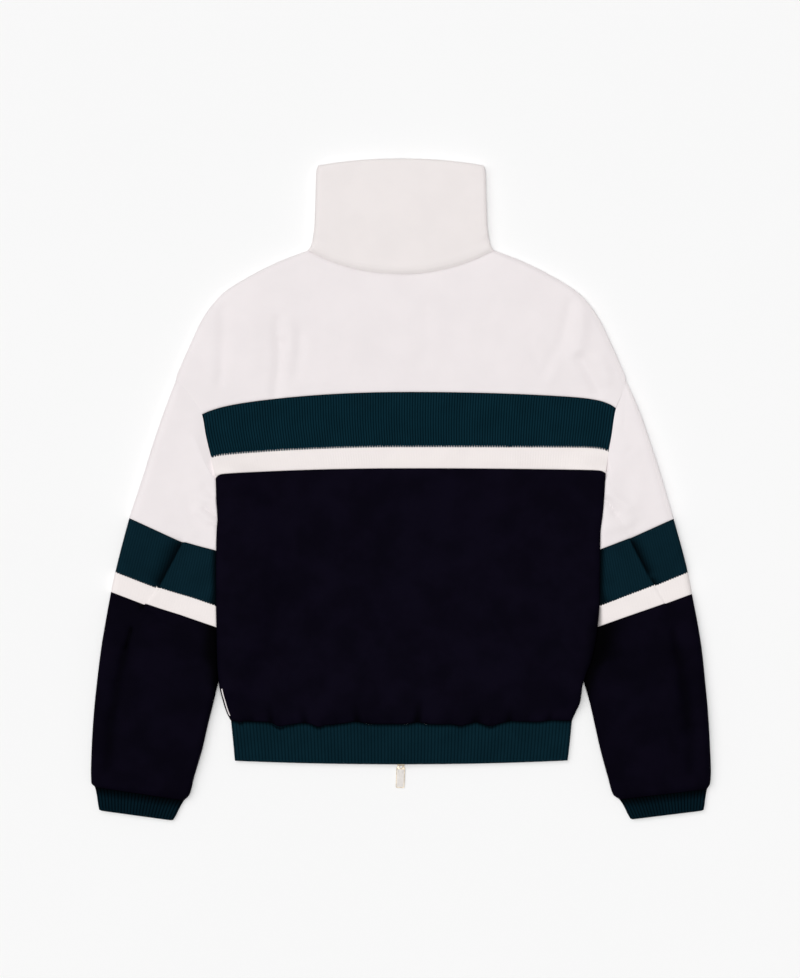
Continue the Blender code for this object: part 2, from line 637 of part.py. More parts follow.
def add_collar(look, parts):
    """The collar: a flattened funnel, open at the zip, with a fold all round its top."""
    rows = dict(COLLAR)
    rows["left_x"], rows["right_x"] = -rows["half_x"], rows["half_x"]
    rows["left_y"] = rows["right_y"] = rows["side_y"]
    middle, over, full = (rows[name][:, None] for name in ("middle", "over", "full"))
    half = rows["half_x"].mean()
    layers, sides, places = band_run(edge_columns(COLLAR_COLUMNS, half=half), COLLAR_UNDER)
    x, y, from_side = band_plan(rows, layers, sides, places, "back_y", "front_y")
    rise = np.where(layers > 0, over + SLIT / 2, -middle)
    z = middle + rise * quarter_round(from_side, middle) * full
    layers, sides, places = band_run(np.linspace(-1, 1, COLLAR_COLUMNS // 2 + 1), COLLAR_UNDER[::2])
    inner_x, inner_y, from_side = band_plan(rows, layers, sides, places, "back_y", "front_y")
    wall = over.mean()
    inner_x = np.where(from_side < wall, inner_x - sides * (wall - from_side), inner_x)
    inner_z = middle + np.where(from_side < wall, 0, layers * SLIT / 2)
    return add_band("collar", (x, y, z), (inner_x, inner_y, inner_z), look, parts)


def slider_bump(x, layers):
    """How far the hem's back rises over the slider."""
    bump = SLIDER_BUMP * HEM["bump"][:, None] * np.exp(-((x / SLIDER_BUMP_HALF) ** 2))
    return np.where(layers > 0, bump, 0)


def add_hem(look, parts):
    """The rib-knit hem: a flattened tube open at the zip, ribbed on its back."""
    middle = HEM_WALL + SLIT / 2
    columns = rib_columns(HEM_RIB_PITCH, HEM["right_x"][0] - HEM["left_x"][0])
    layers, sides, places = band_run(columns, HEM_UNDER)
    x, y, from_side = band_plan(HEM, layers, sides, places, "mid_y", "mid_y")
    relief = slider_bump(x, layers)
    relief[:, layers > 0] += rib_profile(columns)
    z = middle + (layers * middle + relief) * quarter_round(from_side, middle)
    inner_columns = np.concatenate([-HEM_INNER_HALF[::-1], [0], HEM_INNER_HALF])
    layers, sides, places = band_run(inner_columns, HEM_UNDER[::2])
    inner_x, inner_y, from_side = band_plan(HEM, layers, sides, places, "mid_y", "mid_y")
    inner_x = np.where(from_side < HEM_WALL, inner_x - sides * (HEM_WALL - from_side), inner_x)
    inner_z = middle + np.where(from_side < HEM_WALL, 0, layers * SLIT / 2)
    inner_z = inner_z + slider_bump(inner_x, layers)
    return add_band("hem_rib", (x, y, z), (inner_x, inner_y, inner_z), look, parts)


def add_zip_chain(look, parts):
    """Tape and closed chain: a flat bar with a raised middle, which climbs to the slider's height."""
    tape, chain = TAPE_THICKNESS / 2, CHAIN_THICKNESS / 2
    quarter = [(TAPE_HALF, tape), (CHAIN_HALF, tape), (CHAIN_HALF, chain)]
    upper = quarter + [(-x, z) for x, z in quarter[::-1]]
    profile = upper + [(x, -z) for x, z in upper[::-1]]
    slider_end = HEM_FOOT_Y + SLIDER_ABOVE + SEAM_GAP
    stations = (
        (COLLAR["front_y"][-1] - CHAIN_TOP_MARGIN, CHAIN_MIDDLE),
        (HEM["mid_y"][0], CHAIN_MIDDLE),
        (HEM["mid_y"][1], CHAIN_AT_SLIDER),
        (slider_end, CHAIN_AT_SLIDER),
    )
    points = np.array([(x, y, z + middle) for y, middle in stations for x, z in profile])
    index = np.arange(len(points)).reshape(len(stations), len(profile))
    after = np.roll(index, -1, 1)
    sides = np.stack([index[:-1], after[:-1], after[1:], index[1:]], -1).reshape(-1, 4)
    mesh = bpy.data.meshes.new("zip_chain")
    mesh.from_pydata((points * MM).tolist(), [], sides.tolist() + [index[0].tolist(), index[-1].tolist()])
    return finish_hard_piece("zip_chain", mesh, look, parts)


def finish_hard_piece(name, mesh, look, parts):
    """Turns a mesh's faces outwards and links it."""
    shape = bmesh.new()
    shape.from_mesh(mesh)
    bmesh.ops.recalc_face_normals(shape, faces=shape.faces)
    shape.to_mesh(mesh)
    shape.free()
    if look:
        mesh.materials.append(look)
    made = bpy.data.objects.new(name, mesh)
    parts.objects.link(made)
    return made


def box(name, low, high, group, look=None, corner=0.0):
    """A box between two corners, in millimetres, with its upright edges rounded by corner."""
    low, high = np.array(low) * MM, np.array(high) * MM
    shape = bmesh.new()
    made = bmesh.ops.create_cube(shape, size=1)
    bmesh.ops.scale(shape, verts=made["verts"], vec=high - low)
    bmesh.ops.translate(shape, verts=made["verts"], vec=(low + high) / 2)
    if corner:
        upright = [e for e in shape.edges if abs(e.verts[0].co.z - e.verts[1].co.z) > MM / 10]
        bmesh.ops.bevel(shape, geom=upright, offset=corner * MM, segments=3, affect="EDGES", profile=0.5)
    mesh = bpy.data.meshes.new(name)
    shape.to_mesh(mesh)
    shape.free()
    return finish_hard_piece(name, mesh, look, group)


def rod(name, low_x, high_x, radius, group):
    """A rod along the X axis, in millimetres."""
    shape = bmesh.new()
    depth = (high_x - low_x) * MM
    made = bmesh.ops.create_cone(
        shape, cap_ends=True, segments=12, radius1=radius * MM, radius2=radius * MM, depth=depth
    )
    bmesh.ops.rotate(shape, verts=made["verts"], cent=(0, 0, 0), matrix=Matrix.Rotation(math.pi / 2, 3, "Y"))
    bmesh.ops.translate(shape, verts=made["verts"], vec=((low_x + high_x) / 2 * MM, 0, 0))
    mesh = bpy.data.meshes.new(name)
    shape.to_mesh(mesh)
    shape.free()
    return finish_hard_piece(name, mesh, None, group)


def combine(target, other, operation):
    """Adds another shape to the target or cuts it away, and hides it."""
    other.hide_render = True
    other.display_type = "WIRE"
    step = target.modifiers.new(other.name, "BOOLEAN")
    step.operation = operation
    step.object = other
    step.solver = "EXACT"


def add_slider(look, parts, cutters):
    """Two plates on a post, with a bridge on the outer side for the pull's pin."""
    low_y, high_y = HEM_FOOT_Y - SLIDER_BELOW, HEM_FOOT_Y + SLIDER_ABOVE
    (outer_low, outer_high), (inner_low, inner_high) = OUTER_PLATE, INNER_PLATE
    slider = box("zip_slider", (-SLIDER_HALF, low_y, outer_low), (SLIDER_HALF, high_y, outer_high),
                 parts, look, SLIDER_CORNER)
    step = INNER_PLATE_STEP
    half = SLIDER_HALF - step
    inner = box("slider_inner_plate", (-half, low_y + step, inner_low), (half, high_y - step, inner_high),
                cutters, corner=SLIDER_CORNER)
    combine(slider, inner, "UNION")
    sunk = (outer_high - outer_low) / 2
    post_end = high_y - POST_FROM_END
    post = box("slider_post", (-POST_HALF, post_end - POST_LENGTH, outer_high - sunk),
               (POST_HALF, post_end, inner_low + sunk), cutters)
    combine(slider, post, "UNION")
    opening_low, opening_high = PIN_Y - PIN_RADIUS - BRIDGE_PLAY, post_end - BRIDGE_WALL
    arch = box("slider_bridge", (-BRIDGE_HALF, opening_low - BRIDGE_WALL, BRIDGE_HEIGHTS[0]),
               (BRIDGE_HALF, opening_high + BRIDGE_WALL, outer_low + sunk), cutters)
    combine(slider, arch, "UNION")
    hollow = box("slider_bridge_hollow", (-2 * BRIDGE_HALF, opening_low, BRIDGE_HEIGHTS[1]),
                 (2 * BRIDGE_HALF, opening_high, outer_low - sunk / 2), cutters)
    combine(slider, hollow, "DIFFERENCE")
    return slider


def add_pull(look, parts, cutters):
    """A flat tab with a window at its head, whose pin passes through the slider's bridge."""
    axis = bpy.data.objects.new("pull_axis", None)
    axis.location = (0, PIN_Y * MM, PIN_HEIGHT * MM)
    axis.rotation_euler = (0, 0, PULL_TURN)
    parts.objects.link(axis)
    half = PULL_THICKNESS / 2
    outer = PULL_WINDOW_HALF + PULL_EAR
    neck = PULL_WINDOW_LENGTH / 2
    pull = box("zip_pull", (-PULL_HALF, -PULL_LENGTH, -half), (PULL_HALF, -neck, half),
               parts, look, PULL_CORNER)
    head = box("pull_head", (-outer, -neck - PULL_CORNER, -half), (outer, 0, half), cutters)
    eye = rod("pull_eye", -outer, outer, half, cutters)
    window = box("pull_window", (-PULL_WINDOW_HALF, -PULL_WINDOW_LENGTH, -PULL_THICKNESS),
                 (PULL_WINDOW_HALF, PULL_THICKNESS, PULL_THICKNESS), cutters)
    pin_end = PULL_WINDOW_HALF + PULL_EAR / 3
    pin = rod("pull_pin", -pin_end, pin_end, PIN_RADIUS, cutters)
    for step, operation in ((head, "UNION"), (eye, "UNION"), (window, "DIFFERENCE"), (pin, "UNION")):
        combine(pull, step, operation)
        step.parent = axis
    pull.parent = axis
    return pull


def add_side_tab(look, parts):
    """A bare strip held in the left side seam, lying on the back's rounded side."""
    rows = body_rows("notch", "hem_seam")
    panel = back_points(rows, edge_columns(LOWER_COLUMNS)[1:3], SHELL_WALL)
    at = np.array((TAB_ENDS[0], 1, 2, TAB_ENDS[1]))
    known = np.arange(len(rows))
    strip = np.stack([[np.interp(at, known, panel[:, j, i]) for i in range(3)] for j in range(2)])
    strip = strip.transpose(2, 0, 1)
    outwards = np.array(TAB_OUTWARDS)
    outer = strip + outwards * (TAB_GAP + TAB_THICKNESS)
    inner = strip + outwards * TAB_GAP
    return add_wall("side_tab", outer, inner, look, parts)


def main():
    for old in list(bpy.data.objects):
        bpy.data.objects.remove(old)
    parts = bpy.data.collections.new("bomber_jacket")
    cutters = bpy.data.collections.new("bomber_jacket_cutters")
    for group in (parts, cutters):
        bpy.context.scene.collection.children.link(group)

    white = material("white_shell", WHITE, 0.55)
    cream = material("cream_band", CREAM, 0.6)
    green = material("green_rib_knit", GREEN, 0.85)
    navy = material("navy_shell", NAVY, 0.5)
    gold = material("gold_metal", GOLD, 0.3, 1.0)
    enamel = material("cream_enamel", CREAM, 0.35)
    tape = material("zip_tape", CREAM, 0.6)

    panels = (
        ("yoke", "neck", "band_top", SHELL_WALL, white),
        ("band_green", "band_top", "green_cream", INSERT_WALL, green),
        ("band_cream", "green_cream", "armpit", INSERT_WALL, cream),
        ("lower", "armpit", "hem_seam", SHELL_WALL, navy),
    )
    plain = edge_columns(BACK_COLUMNS)
    ribbed = rib_columns(BODY_RIB_PITCH, BODY["right_x"].max() - BODY["left_x"].min() - BAND_DRAWN_IN)
    gathered = (GATHERS["x"][:, None] + np.array(GATHER_SPREAD)).ravel() / BODY["right_x"][-1]
    gathered = np.unique(np.concatenate([edge_columns(LOWER_COLUMNS), gathered]))
    columns = {"yoke": plain, "band_green": ribbed, "band_cream": plain, "lower": gathered}
    for piece, first, last, wall, look in panels:
        ribs = rib_profile(ribbed) if piece == "band_green" else 0
        add_back(f"back_{piece}", first, last, wall, look, parts, columns[piece], ribs)
        add_front(f"front_{piece}_left", -1, first, last, wall, look, parts)
        add_front(f"front_{piece}_right", 1, first, last, wall, look, parts)

    add_collar(white, parts)
    add_hem(green, parts)

    sleeve = (
        ("sleeve_upper", "armhole", "band_top", white, SHELL_WALL, None),
        ("sleeve_band_green", "band_top", "green_cream", green, INSERT_WALL, BODY_RIB_PITCH),
        ("sleeve_band_cream", "green_cream", "cream_navy", cream, INSERT_WALL, None),
        ("sleeve_lower", "cream_navy", "cuff_seam", navy, SHELL_WALL, None),
        ("cuff", "cuff_seam", "cuff_foot", green, HEM_WALL, CUFF_RIB_PITCH),
    )
    for side in (-1, 1):
        for piece, first, last, look, wall, pitch in sleeve:
            add_sleeve_piece(f"{piece}_{hand(side)}", side, first, last, look, parts, wall, pitch)

    add_zip_chain(tape, parts)
    add_slider(gold, parts, cutters)
    add_pull(enamel, parts, cutters)
    add_side_tab(white, parts)


main()
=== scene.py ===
"""Looks of the bomber jacket: padded panels, rib knit, zip, floor, light and camera.

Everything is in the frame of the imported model. Lengths are in millimetres until a mesh is made.
A panel is a height field: its plan is a function of a distance down the garment and a place across
it, and its height adds wadding, rounded sides, seam dips, folds, gathers and ribs.
"""
import math

import bmesh
import bpy
import numpy as np
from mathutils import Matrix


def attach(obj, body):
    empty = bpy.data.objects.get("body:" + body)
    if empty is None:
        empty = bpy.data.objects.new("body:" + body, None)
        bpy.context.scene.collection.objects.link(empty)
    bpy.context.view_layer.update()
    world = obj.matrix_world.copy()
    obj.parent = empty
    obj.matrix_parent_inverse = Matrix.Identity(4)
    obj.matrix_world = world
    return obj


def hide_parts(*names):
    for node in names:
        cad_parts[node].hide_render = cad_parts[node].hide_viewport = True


MM = 0.001

# ---------------------------------------------------------------- sizes

SHELL_WALL = 5.0          # shell, light wadding and lining
INSERT_WALL = 4.2         # knit insert or band on the same wadding
HEM_WALL = 3.2
LAYER_GAP = 0.3
SLIT = 0.6
SEAM_GAP = 0.1            # cloth edges almost touch along a seam
LAND = 0.35
BODY_ROUND = 8.0
ARCH = 2.1                # power of the curve that every body, collar and hem row follows

PUFF = 1.6                # how far the wadding lifts the shell away from seams
PUFF_REACH = 22.0
SEAM_DIP = 1.3            # a sewn seam pulls the shell down
SEAM_ROUND = 3.6
SOFT_SEAM = 2.4

BODY_RIB_PITCH = 3.4
HEM_RIB_PITCH = 4.3
CUFF_RIB_PITCH = 4.2
CUFF_CORNER = 1.2         # the foot of a cuff turns up at its corners
RIB_HEIGHT = 0.55
SLEEVE_RIB_HEIGHT = 0.3
CREAM_RIB_HEIGHT = 0.09
RIB_LEVEL = 0.6           # the height share of a rib that lies level with plain cloth
RIB_PUFF = 0.3            # knit inserts puff and wrinkle less than the shell
RIB_WRINKLE = 0.2
TOOTH = 3.2               # how far each green rib reaches into the cream
TOOTH_FADE = 2.2
ARMHOLE_DIP = 0.9
INNER_FOLD = 0.7          # how much of a fold the lining follows

TUCKED_SLEEVE = 8.0
SIDE_LIFT = 8.7
LIFT_MARGIN = 14.0
LIFT_RAMP = 52.0
LIFT_START = (52.0, 22.0)
LIFT_END = (-254.0, -292.0)
PRESS_START = 5.0         # the sleeve starts to rise this far under the body's edge
PRESS_REACH = 7.0
SWELL = 1.6               # a sleeve that the body presses on bulges beside it
SWELL_REACH = 40.0
BESIDE_BODY = 0.95        # how deep in shade a dark sleeve is right beside the body
BESIDE_REACH = 6.0
WIDER_BY = (13.0, 26.0)   # on the left and on the right sleeve
WIDER_START = (-125.0, -185.0)
WIDER_END = (-212.0, -232.0)
CREAM_SHADE = 0.07        # how much of a dark cloth's shade the sleeve's cream shows
TUCK_SHADE = 1.0          # the cream turns under the body's right edge in a short soft shade
TUCK_TOP, TUCK_REACH = -146.0, 4.6
BESIDE_SLEEVE = 0.55      # and how deep in shade the back is beside the right sleeve
BESIDE_SLEEVE_REACH = 14.0
SHADE_START = (-125.0, -175.0)
SHADE_END = (-232.0, -252.0)
GATHER_SHADE = 2.6        # a gather this deep is all in shade
FOLD_WANDER = 0.12        # how far a fold strays from its line, as a share of its half width
DEEP_TROUGH = -1.9        # troughs deeper than this are in shade
TROUGH_SHADE = 0.18       # by this much for each millimetre

ZIP_CHANNEL = 5.8
HEM_FOOT_Y = -354.4
HEM_SEAM_Y = -304.3
SLIDER_BUMP = 2.6
SLIDER_BUMP_HALF = 20.0
SAG_FADE = (9.0, 5.0)     # how far the sags over the hem seam reach up the body and down the hem

FINE = 2.6                # grid spacing on faces that show
RIB_ROWS = 3.4            # between rows of a knit insert
TUBE_ROWS = 2.8           # between rows of a sleeve's knit and of the hem
TUBE_ENDS = (0.3, 0.8, 1.6, 2.8)    # closer rows at their ends
FRONT_ROWS = 4.5
UNDER_COLUMNS = 5.0       # between columns of faces that lie underneath
INSIDE = 14.0             # and on faces that lie inside
RIB_POINTS = 8            # grid columns a rib
FRONT_RIB_POINTS = 6
UNDER_RIB_POINTS = 4
SLIT_COLUMNS = 12         # inside a sleeve, between the ends of each layer

BACK_WIDTH = 505.0        # widths that grids and ribs are spread over
BACK_RIB_WIDTH = 530.0
FRONT_WIDTH = 258.0
FRONT_RIB_WIDTH = 265.0
COLLAR_WIDTH = 222.0
COLLAR_MARGIN = 5.8
HEM_WIDTH = 436.0
NO_RIBS = (0, 0, 0, 0)
FAR = 12.0                # seam distances past this make no difference


def table(columns, *rows):
    """Named columns, each as one array. A row that stops short goes on as the row above it."""
    whole = [rows[0]]
    for row in rows[1:]:
        whole.append(row + whole[-1][len(row):])
    return dict(zip(columns.split(), (np.array(column) for column in zip(*whole))))


# Rows across the body, as in the part's source. A row's end also turns down: droop is how far, within reach.
BODY = table(
    "row left_x left_y mid_y right_x right_y front_y round under over left_droop left_reach right_droop right_reach",
    ("neck", -120.9, 312.2, 281.3, 120.9, 312.2, 241.0, 1, 1, 0.84, 0, 18, 0, 14),
    ("shoulder_1", -157.3, 298.2, 260.5, 157.3, 298.2, 224.1, 1, 1, 1),
    ("shoulder_2", -198.9, 277.4, 237.1, 198.9, 277.4, 205.9),
    ("shoulder_3", -232.7, 255.3, 213.7, 232.7, 255.3, 189.0),
    ("shoulder_4", -257.4, 224.1, 191.6, 257.4, 224.1, 174.7),
    ("shoulder_5", -274.3, 189.0, 170.8, 274.3, 189.0, 161.7),
    ("shoulder_6", -284.7, 165.6, 156.5, 284.7, 165.6, 151.3),
    ("armhole_top", -292.5, 143.5, 144.8, 292.5, 143.5, 142.2),
    ("armhole_1", -288.7, 139.2, 142.9, 291.1, 138.9, 140.6, 0),
    ("armhole_2", -274.3, 125.0, 135.7, 287.3, 129.6, 134.4, 0, 1, 1, 2.4, 18, 3.4),
    ("band_top", -259.2, 105.6, 127.9, 279.5, 117.5, 127.9, 0, 1, 1, 7.2, 19, 10.7, 14.7),
    ("band_mid", -254.8, 76.4, 92.8, 274.3, 79.2, 92.8, 0, 1, 1, 4.2, 12, 5.0, 12),
    ("green_cream", -247.8, 45.0, 56.9, 270.0, 56.0, 57.7, 0, 1, 1, 2.8, 6, 5.0, 9.6),
    ("armpit_top", -242.2, 25.6, 34.0, 266.7, 31.2, 34.0, 0, 1, 1, 4.2, 3.4, 3.2, 4),
    ("armpit", -240.9, 20.9, 28.5, 266.0, 25.9, 28.5, 1, 1, 1, 5.4, 3.2, 4.2, 3.6),
    ("side_1", -240.2, -12.5, -12.5, 263.9, -12.5, -12.5, 1, 1, 1, 0, 5, 0, 5),
    ("side_wrinkle", -238.4, -36.0, -36.0, 261.7, -36.0, -36.0),
    ("side_2", -239.7, -51.5, -51.5, 259.4, -51.5, -51.5),
    ("side_3", -240.5, -97.0, -97.0, 258.7, -97.0, -97.0),
    ("side_4", -240.5, -142.5, -142.5, 258.1, -142.5, -142.5),
    ("side_5", -239.8, -184.1, -184.1, 254.8, -184.1, -184.1),
    ("side_6", -239.2, -220.5, -220.5, 247.7, -220.5, -220.5),
    ("notch", -236.6, -251.7, -251.7, 236.2, -251.7, -251.7),
    ("side_7", -231.4, -275.1, -275.1, 233.1, -275.1, -275.1),
    ("side_8", -226.2, -290.7, -292.0, 226.1, -290.7, -292.0, 1, 0.94),
    ("hem_seam", -221.2, -299.8, -304.3, 222.4, -299.8, -304.3, 1, 0.72, 0.74),
)

# Rows across each sleeve below the armhole, from its outer to its inner edge. The bands sag towards a crease:
# sag is how far, and crease the share across where it lies. A row comes back within CREASE_RUN past it.
SLEEVE = table(
    "row left_outer_x left_outer_y right_outer_x right_outer_y left_x left_y right_x right_y bow thick "
    "left_sag left_crease right_sag right_crease",
    ("armhole", 292.5, 143.5, 292.5, 143.5, 239.2, 20.0, 265.2, 21.3, 1, 10.3, 0, 0.5, 0, 0.4),
    ("upper_1", 301.6, 120.1, 303.4, 120.1, 236.6, 4.4, 262.6, 5.7, 0.7, 11.0),
    ("upper_2", 312.0, 91.5, 314.8, 91.5, 223.6, -8.6, 250.9, -12.5, 0.45, 11.8),
    ("upper_3", 325.0, 52.5, 328.0, 52.5, 211.9, -33.3, 232.7, -40.5, 0.25, 12.2, 0.4, 0.5, 0.2),
    ("upper_4", 337.0, 13.5, 340.3, 13.5, 204.1, -61.9, 215.8, -69.8, 0.1, 12.2, 1.8, 0.48, 0.9),
    ("band_top", 353.4, -36.2, 354.7, -37.0, 200.2, -93.4, 204.1, -99.4, 0, 11.8, 5.9, 0.446, 2.1, 0.385),
    ("green_cream", 371.6, -106.1, 373.1, -106.4, 211.9, -159.7, 211.9, -168.0, 0, 11.8, 2.9, 0.334, 1.2, 0.25),
    ("cream_navy", 377.2, -132.2, 378.5, -134.8, 219.7, -185.0, 219.7, -190.3, 0, 11.8, 2.1, 0.276, 0.8, 0.23),
    ("lower_1", 384.4, -171.1, 385.8, -172.5, 228.8, -217.9, 228.8, -220.0, 0, 12.2, 0.4, 0.27, 0.2),
    ("lower_2", 390.4, -207.5, 391.4, -207.5, 236.6, -245.2, 236.6, -245.2, 0, 12.6, 0, 0.27, 0),
    ("lower_3", 395.2, -246.5, 395.5, -246.5, 243.1, -272.5, 244.7, -272.5),
    ("lower_4", 399.5, -288.1, 399.4, -288.1, 250.9, -303.7, 251.9, -303.7),
    ("lower_5", 402.3, -331.0, 401.9, -331.0, 258.7, -337.5, 259.5, -337.5),
    ("lower_6", 403.4, -366.1, 403.2, -366.1, 269.1, -372.6, 269.1, -372.6, 0, 12.0),
    ("lower_7", 403.0, -380.7, 402.2, -381.7, 275.4, -396.2, 276.4, -396.2, 0, 10.4),
    ("cuff_seam", 398.3, -386.4, 398.2, -389.0, 282.7, -403.9, 284.7, -402.6, 0, 7.6),
    ("cuff_foot", 393.0, -416.6, 394.0, -416.7, 296.4, -429.9, 298.7, -428.5, 0, 6.6),
)
CREASE_RUN = 0.29

# Rows up the collar, from the neck seam to the folded top edge.
COLLAR = table(
    "row half_x side_y back_y front_y middle over",
    ("neck", 120.9, 312.2, 281.3, 241.0, 5.15, 5.1),
    ("above_seam", 117.2, 318.0, 290.0, 254.0, 5.15, 5.5),
    ("flare", 114.6, 328.0, 305.0, 281.0, 5.15, 5.9),
    ("low", 112.5, 345.0, 330.0, 312.0, 5.8, 5.8),
    ("half_up", 111.3, 375.0, 368.0, 358.0, 5.9, 5.8),
    ("high", 110.5, 403.0, 402.0, 398.0, 5.9, 5.8),
    ("below_fold", 110.0, 415.0, 422.0, 421.0, 5.9, 5.8),
    ("top", 107.8, 422.4, 431.6, 431.0, 5.9, 5.8),
)

# Rows down the hem.
HEM = table(
    "row left_x left_y mid_y right_x right_y bump",
    ("seam", -221.2, -299.8, -304.3, 222.4, -299.8, 0),
    ("slider_top", -218.2, -330.0, -337.0, 219.4, -330.0, 1),
    ("foot", -216.2, -351.8, HEM_FOOT_Y - 2.0, 216.9, -351.4, 1),
)

# Folds, each a ridge (height above 0) or a trough along a line that runs downwards. form is 0 for a round
# one, 1 for a sharp one, and 2 for an overlap: steep towards the body's middle and gentle away from it.
# First the yoke's, then those beside the armholes, across the sleeves' bands and down the lower sleeves.
FOLDS = table(
    "start_x start_y end_x end_y half_width height form",
    (-232, 241, -232, 170, 8, -1.5, 0), (-232, 170, -237, 134, 8, -1.8, 0), (-160, 226, -161, 190, 8, -1.7, 0),
    (-157, 196, -163, 118, 7, -2.2, 0), (-146, 226, -143, 176, 8, 1.0, 0), (-130, 208, -137, 143, 8, -1.2, 0),
    (-197, 232, -190, 150, 14, 0.8, 0), (222, 250, 208, 189, 8, -1.6, 0), (208, 189, 184, 150, 10, -1.4, 0),
    (205, 175, 192, 140, 7, 1.2, 0), (236, 240, 230, 176, 9, 1.8, 0), (230, 176, 246, 150, 8, -2.2, 0),
    (246, 150, 258, 124, 8, -2.4, 0), (258, 176, 270, 140, 8, 1.6, 0), (163, 205, 178, 165, 8, -1.0, 0),
    (175, 235, 190, 205, 9, 0.9, 0), (31, 247, 35, 163, 11, -0.8, 0), (-60, 250, -58, 175, 14, 0.6, 0),
    (110, 250, 104, 180, 13, -0.6, 0), (-196, 262, -120, 258, 12, 0.7, 0), (-270, 71, -247, 20, 5, 0.7, 0),
    (292, 137, 290, 78, 4, -0.6, 1), (290, 45, 303, 55, 5, -0.7, 0), (-257, -22, -237, -37, 4, -2.2, 1),
    (-268, -24, -240, -48, 5, 1.5, 0), (-262, -8, -238, -20, 5, 1.1, 0), (-250, -44, -238, -50, 3.5, -1.4, 1),
    (-258, 6, -242, -6, 5, -1.2, 0), (-300, 0, -268, -60, 10, 1.2, 0), (265, -10, 281, -32, 4, -3.0, 1),
    (268, -2, 300, -26, 7, 1.8, 0), (281, -32, 296, -56, 5, -1.2, 1), (312, 20, 300, -40, 12, 1.0, 0),
    (262, -50, 300, -44, 7, 1.0, 0), (-283.8, -66, -315.9, -127, 23, -4.6, 2), (-315.9, -127, -338, -156, 17, -1.6, 2),
    (-283, -60, -300, -38, 8, -0.9, 0), (298, -63, 323, -112, 17, -4.2, 2), (323, -112, 346, -151, 14, -1.1, 2),
    (298, -58, 312, -40, 8, -0.8, 0), (-350, -177, -359, -208, 3.5, -3.6, 1), (-357, -200, -370, -256, 6, -2.8, 0),
    (-368, -246, -378, -305, 8, -2.6, 0), (-377, -295, -383, -368, 8, -2.2, 0), (-331, -153, -312, -162, 3.5, -1.8, 0),
    (-315, -166, -297, -172, 3.5, -1.4, 0), (-330, -190, -352, -280, 11, 1.4, 0), (352, -178, 360, -212, 5, -2.2, 0),
    (358, -203, 369, -262, 8, -2.4, 0), (367, -250, 375, -316, 9, -2.6, 0), (375, -304, 376, -373, 9, -2.2, 0),
    (340, -195, 356, -290, 11, 1.4, 0), (265, -201, 311, -247, 10, -1.6, 0), (-209, -272, -173, -298, 8, -1.6, 0),
    (-292, -330, -300, -385, 8, -1.2, 0), (-340, -345, -344, -385, 7, -1.2, 0), (300, -335, 306, -385, 8, -1.2, 0),
    (345, -340, 343, -385, 7, -1.2, 0),
)

# Gathers where the navy back is drawn in to the hem: place, reach up from the seam, half width and depth.
GATHERS = table(
    "x reach half_width depth",
    (-203, 20, 4.5, 1.0), (-194, 26, 5.0, 1.5), (-169, 40, 5.5, 2.2), (-158, 22, 4.0, 1.1),
    (-141, 18, 4.0, 0.9), (-125, 34, 5.0, 2.0), (-101, 18, 4.0, 0.9), (-84, 24, 4.5, 1.0),
    (-56, 42, 5.0, 2.2), (-42, 20, 4.0, 1.1), (-12, 18, 4.0, 0.8), (21, 52, 5.5, 2.8),
    (33, 22, 4.0, 1.1), (62, 22, 4.5, 0.9), (97, 36, 7.5, 1.8), (118, 20, 4.0, 1.0),
    (140, 36, 5.0, 2.1), (165, 20, 4.0, 1.0), (192, 34, 5.0, 1.9), (206, 18, 4.0, 0.9),
)

# Where the padded body sags over the hem seam, and where a gather holds it up: place, half width and sag.
SAGS = table(
    "x half_width sag",
    (-209, 4, 2.6), (-158, 9, 7.2), (-143, 8, 2.8), (-107, 9, 5.2), (-90, 8, 1.8),
    (-59, 12, -3.0), (21, 9, -2.3), (55, 16, 0.8), (78, 8, 2.8), (97.5, 5, -1.8),
    (117, 9, 4.6), (144, 10, -2.1), (160, 10, -1.0), (198, 12, -1.6),
)

# A crease across each sleeve's bands, from start to end, shifts the cloth on its inner side a little.
CREASE = {-1: (-281, -60, -338, -156, 2.0), 1: (296, -58, 346, -151, 1.2)}
CREASE_FADE = 30.0        # dying out this far beside the line, and this far past its ends
CREASE_ENDS = 12.0

CHAIN_MIDDLE = 2.1
CHAIN_AT_SLIDER = 3.7
ZIP_TOP = 428.0
ZIP_FOOT = HEM_FOOT_Y + 10.5
TOOTH_PITCH = 3.8
TAPE_PROFILE = np.array([(0.75, 0.0), (0.9, 0.55), (1.7, 0.7), (2.3, 0.3), (3.4, 0.3), (5.5, 0.3)])
SLIDER_BELOW, SLIDER_ABOVE = 4.0, 10.0
PIN_Y = HEM_FOOT_Y - 1.7
PIN_HEIGHT = 1.1
PULL_THICKNESS = 1.2
PULL_LENGTH = 31.2
PULL_HALF = 5.6
PIN_HALF = 1.85
PIN_SHARE = 0.7           # how thick the pin is beside the head it runs through
PULL_TURN = math.radians(-2.5)

LABEL_Y = (-257.5, -294.0)
LABEL_COLUMNS = (3.8, 4.2, 4.7)
LABEL_GAP = 0.35
LABEL_THICKNESS = 0.5
LABEL_OUTWARDS = (-0.6, 0.0, 0.8)

WHITE = (0.830, 0.778, 0.786)
COLLAR_WHITE = (0.826, 0.774, 0.766)
CREAM = (0.862, 0.803, 0.788)
GREEN = (0.0031, 0.0200, 0.0310)
HEM_GREEN = (0.0029, 0.0162, 0.0248)
SLEEVE_GREEN = (0.0033, 0.0162, 0.0250)
CUFF_GREEN = (0.0025, 0.0132, 0.0212)
NAVY = (0.0028, 0.0020, 0.0060)
SLEEVE_NAVY = (0.0024, 0.0017, 0.0052)
GOLD = (0.70, 0.61, 0.48)
ENAMEL = (0.74, 0.70, 0.665)
TEETH = (0.80, 0.77, 0.70)

PAINTED_RIM_LIGHT = 0.2                 # painted light: how much brighter white cloth is painted where it turns down to the right, away from the key
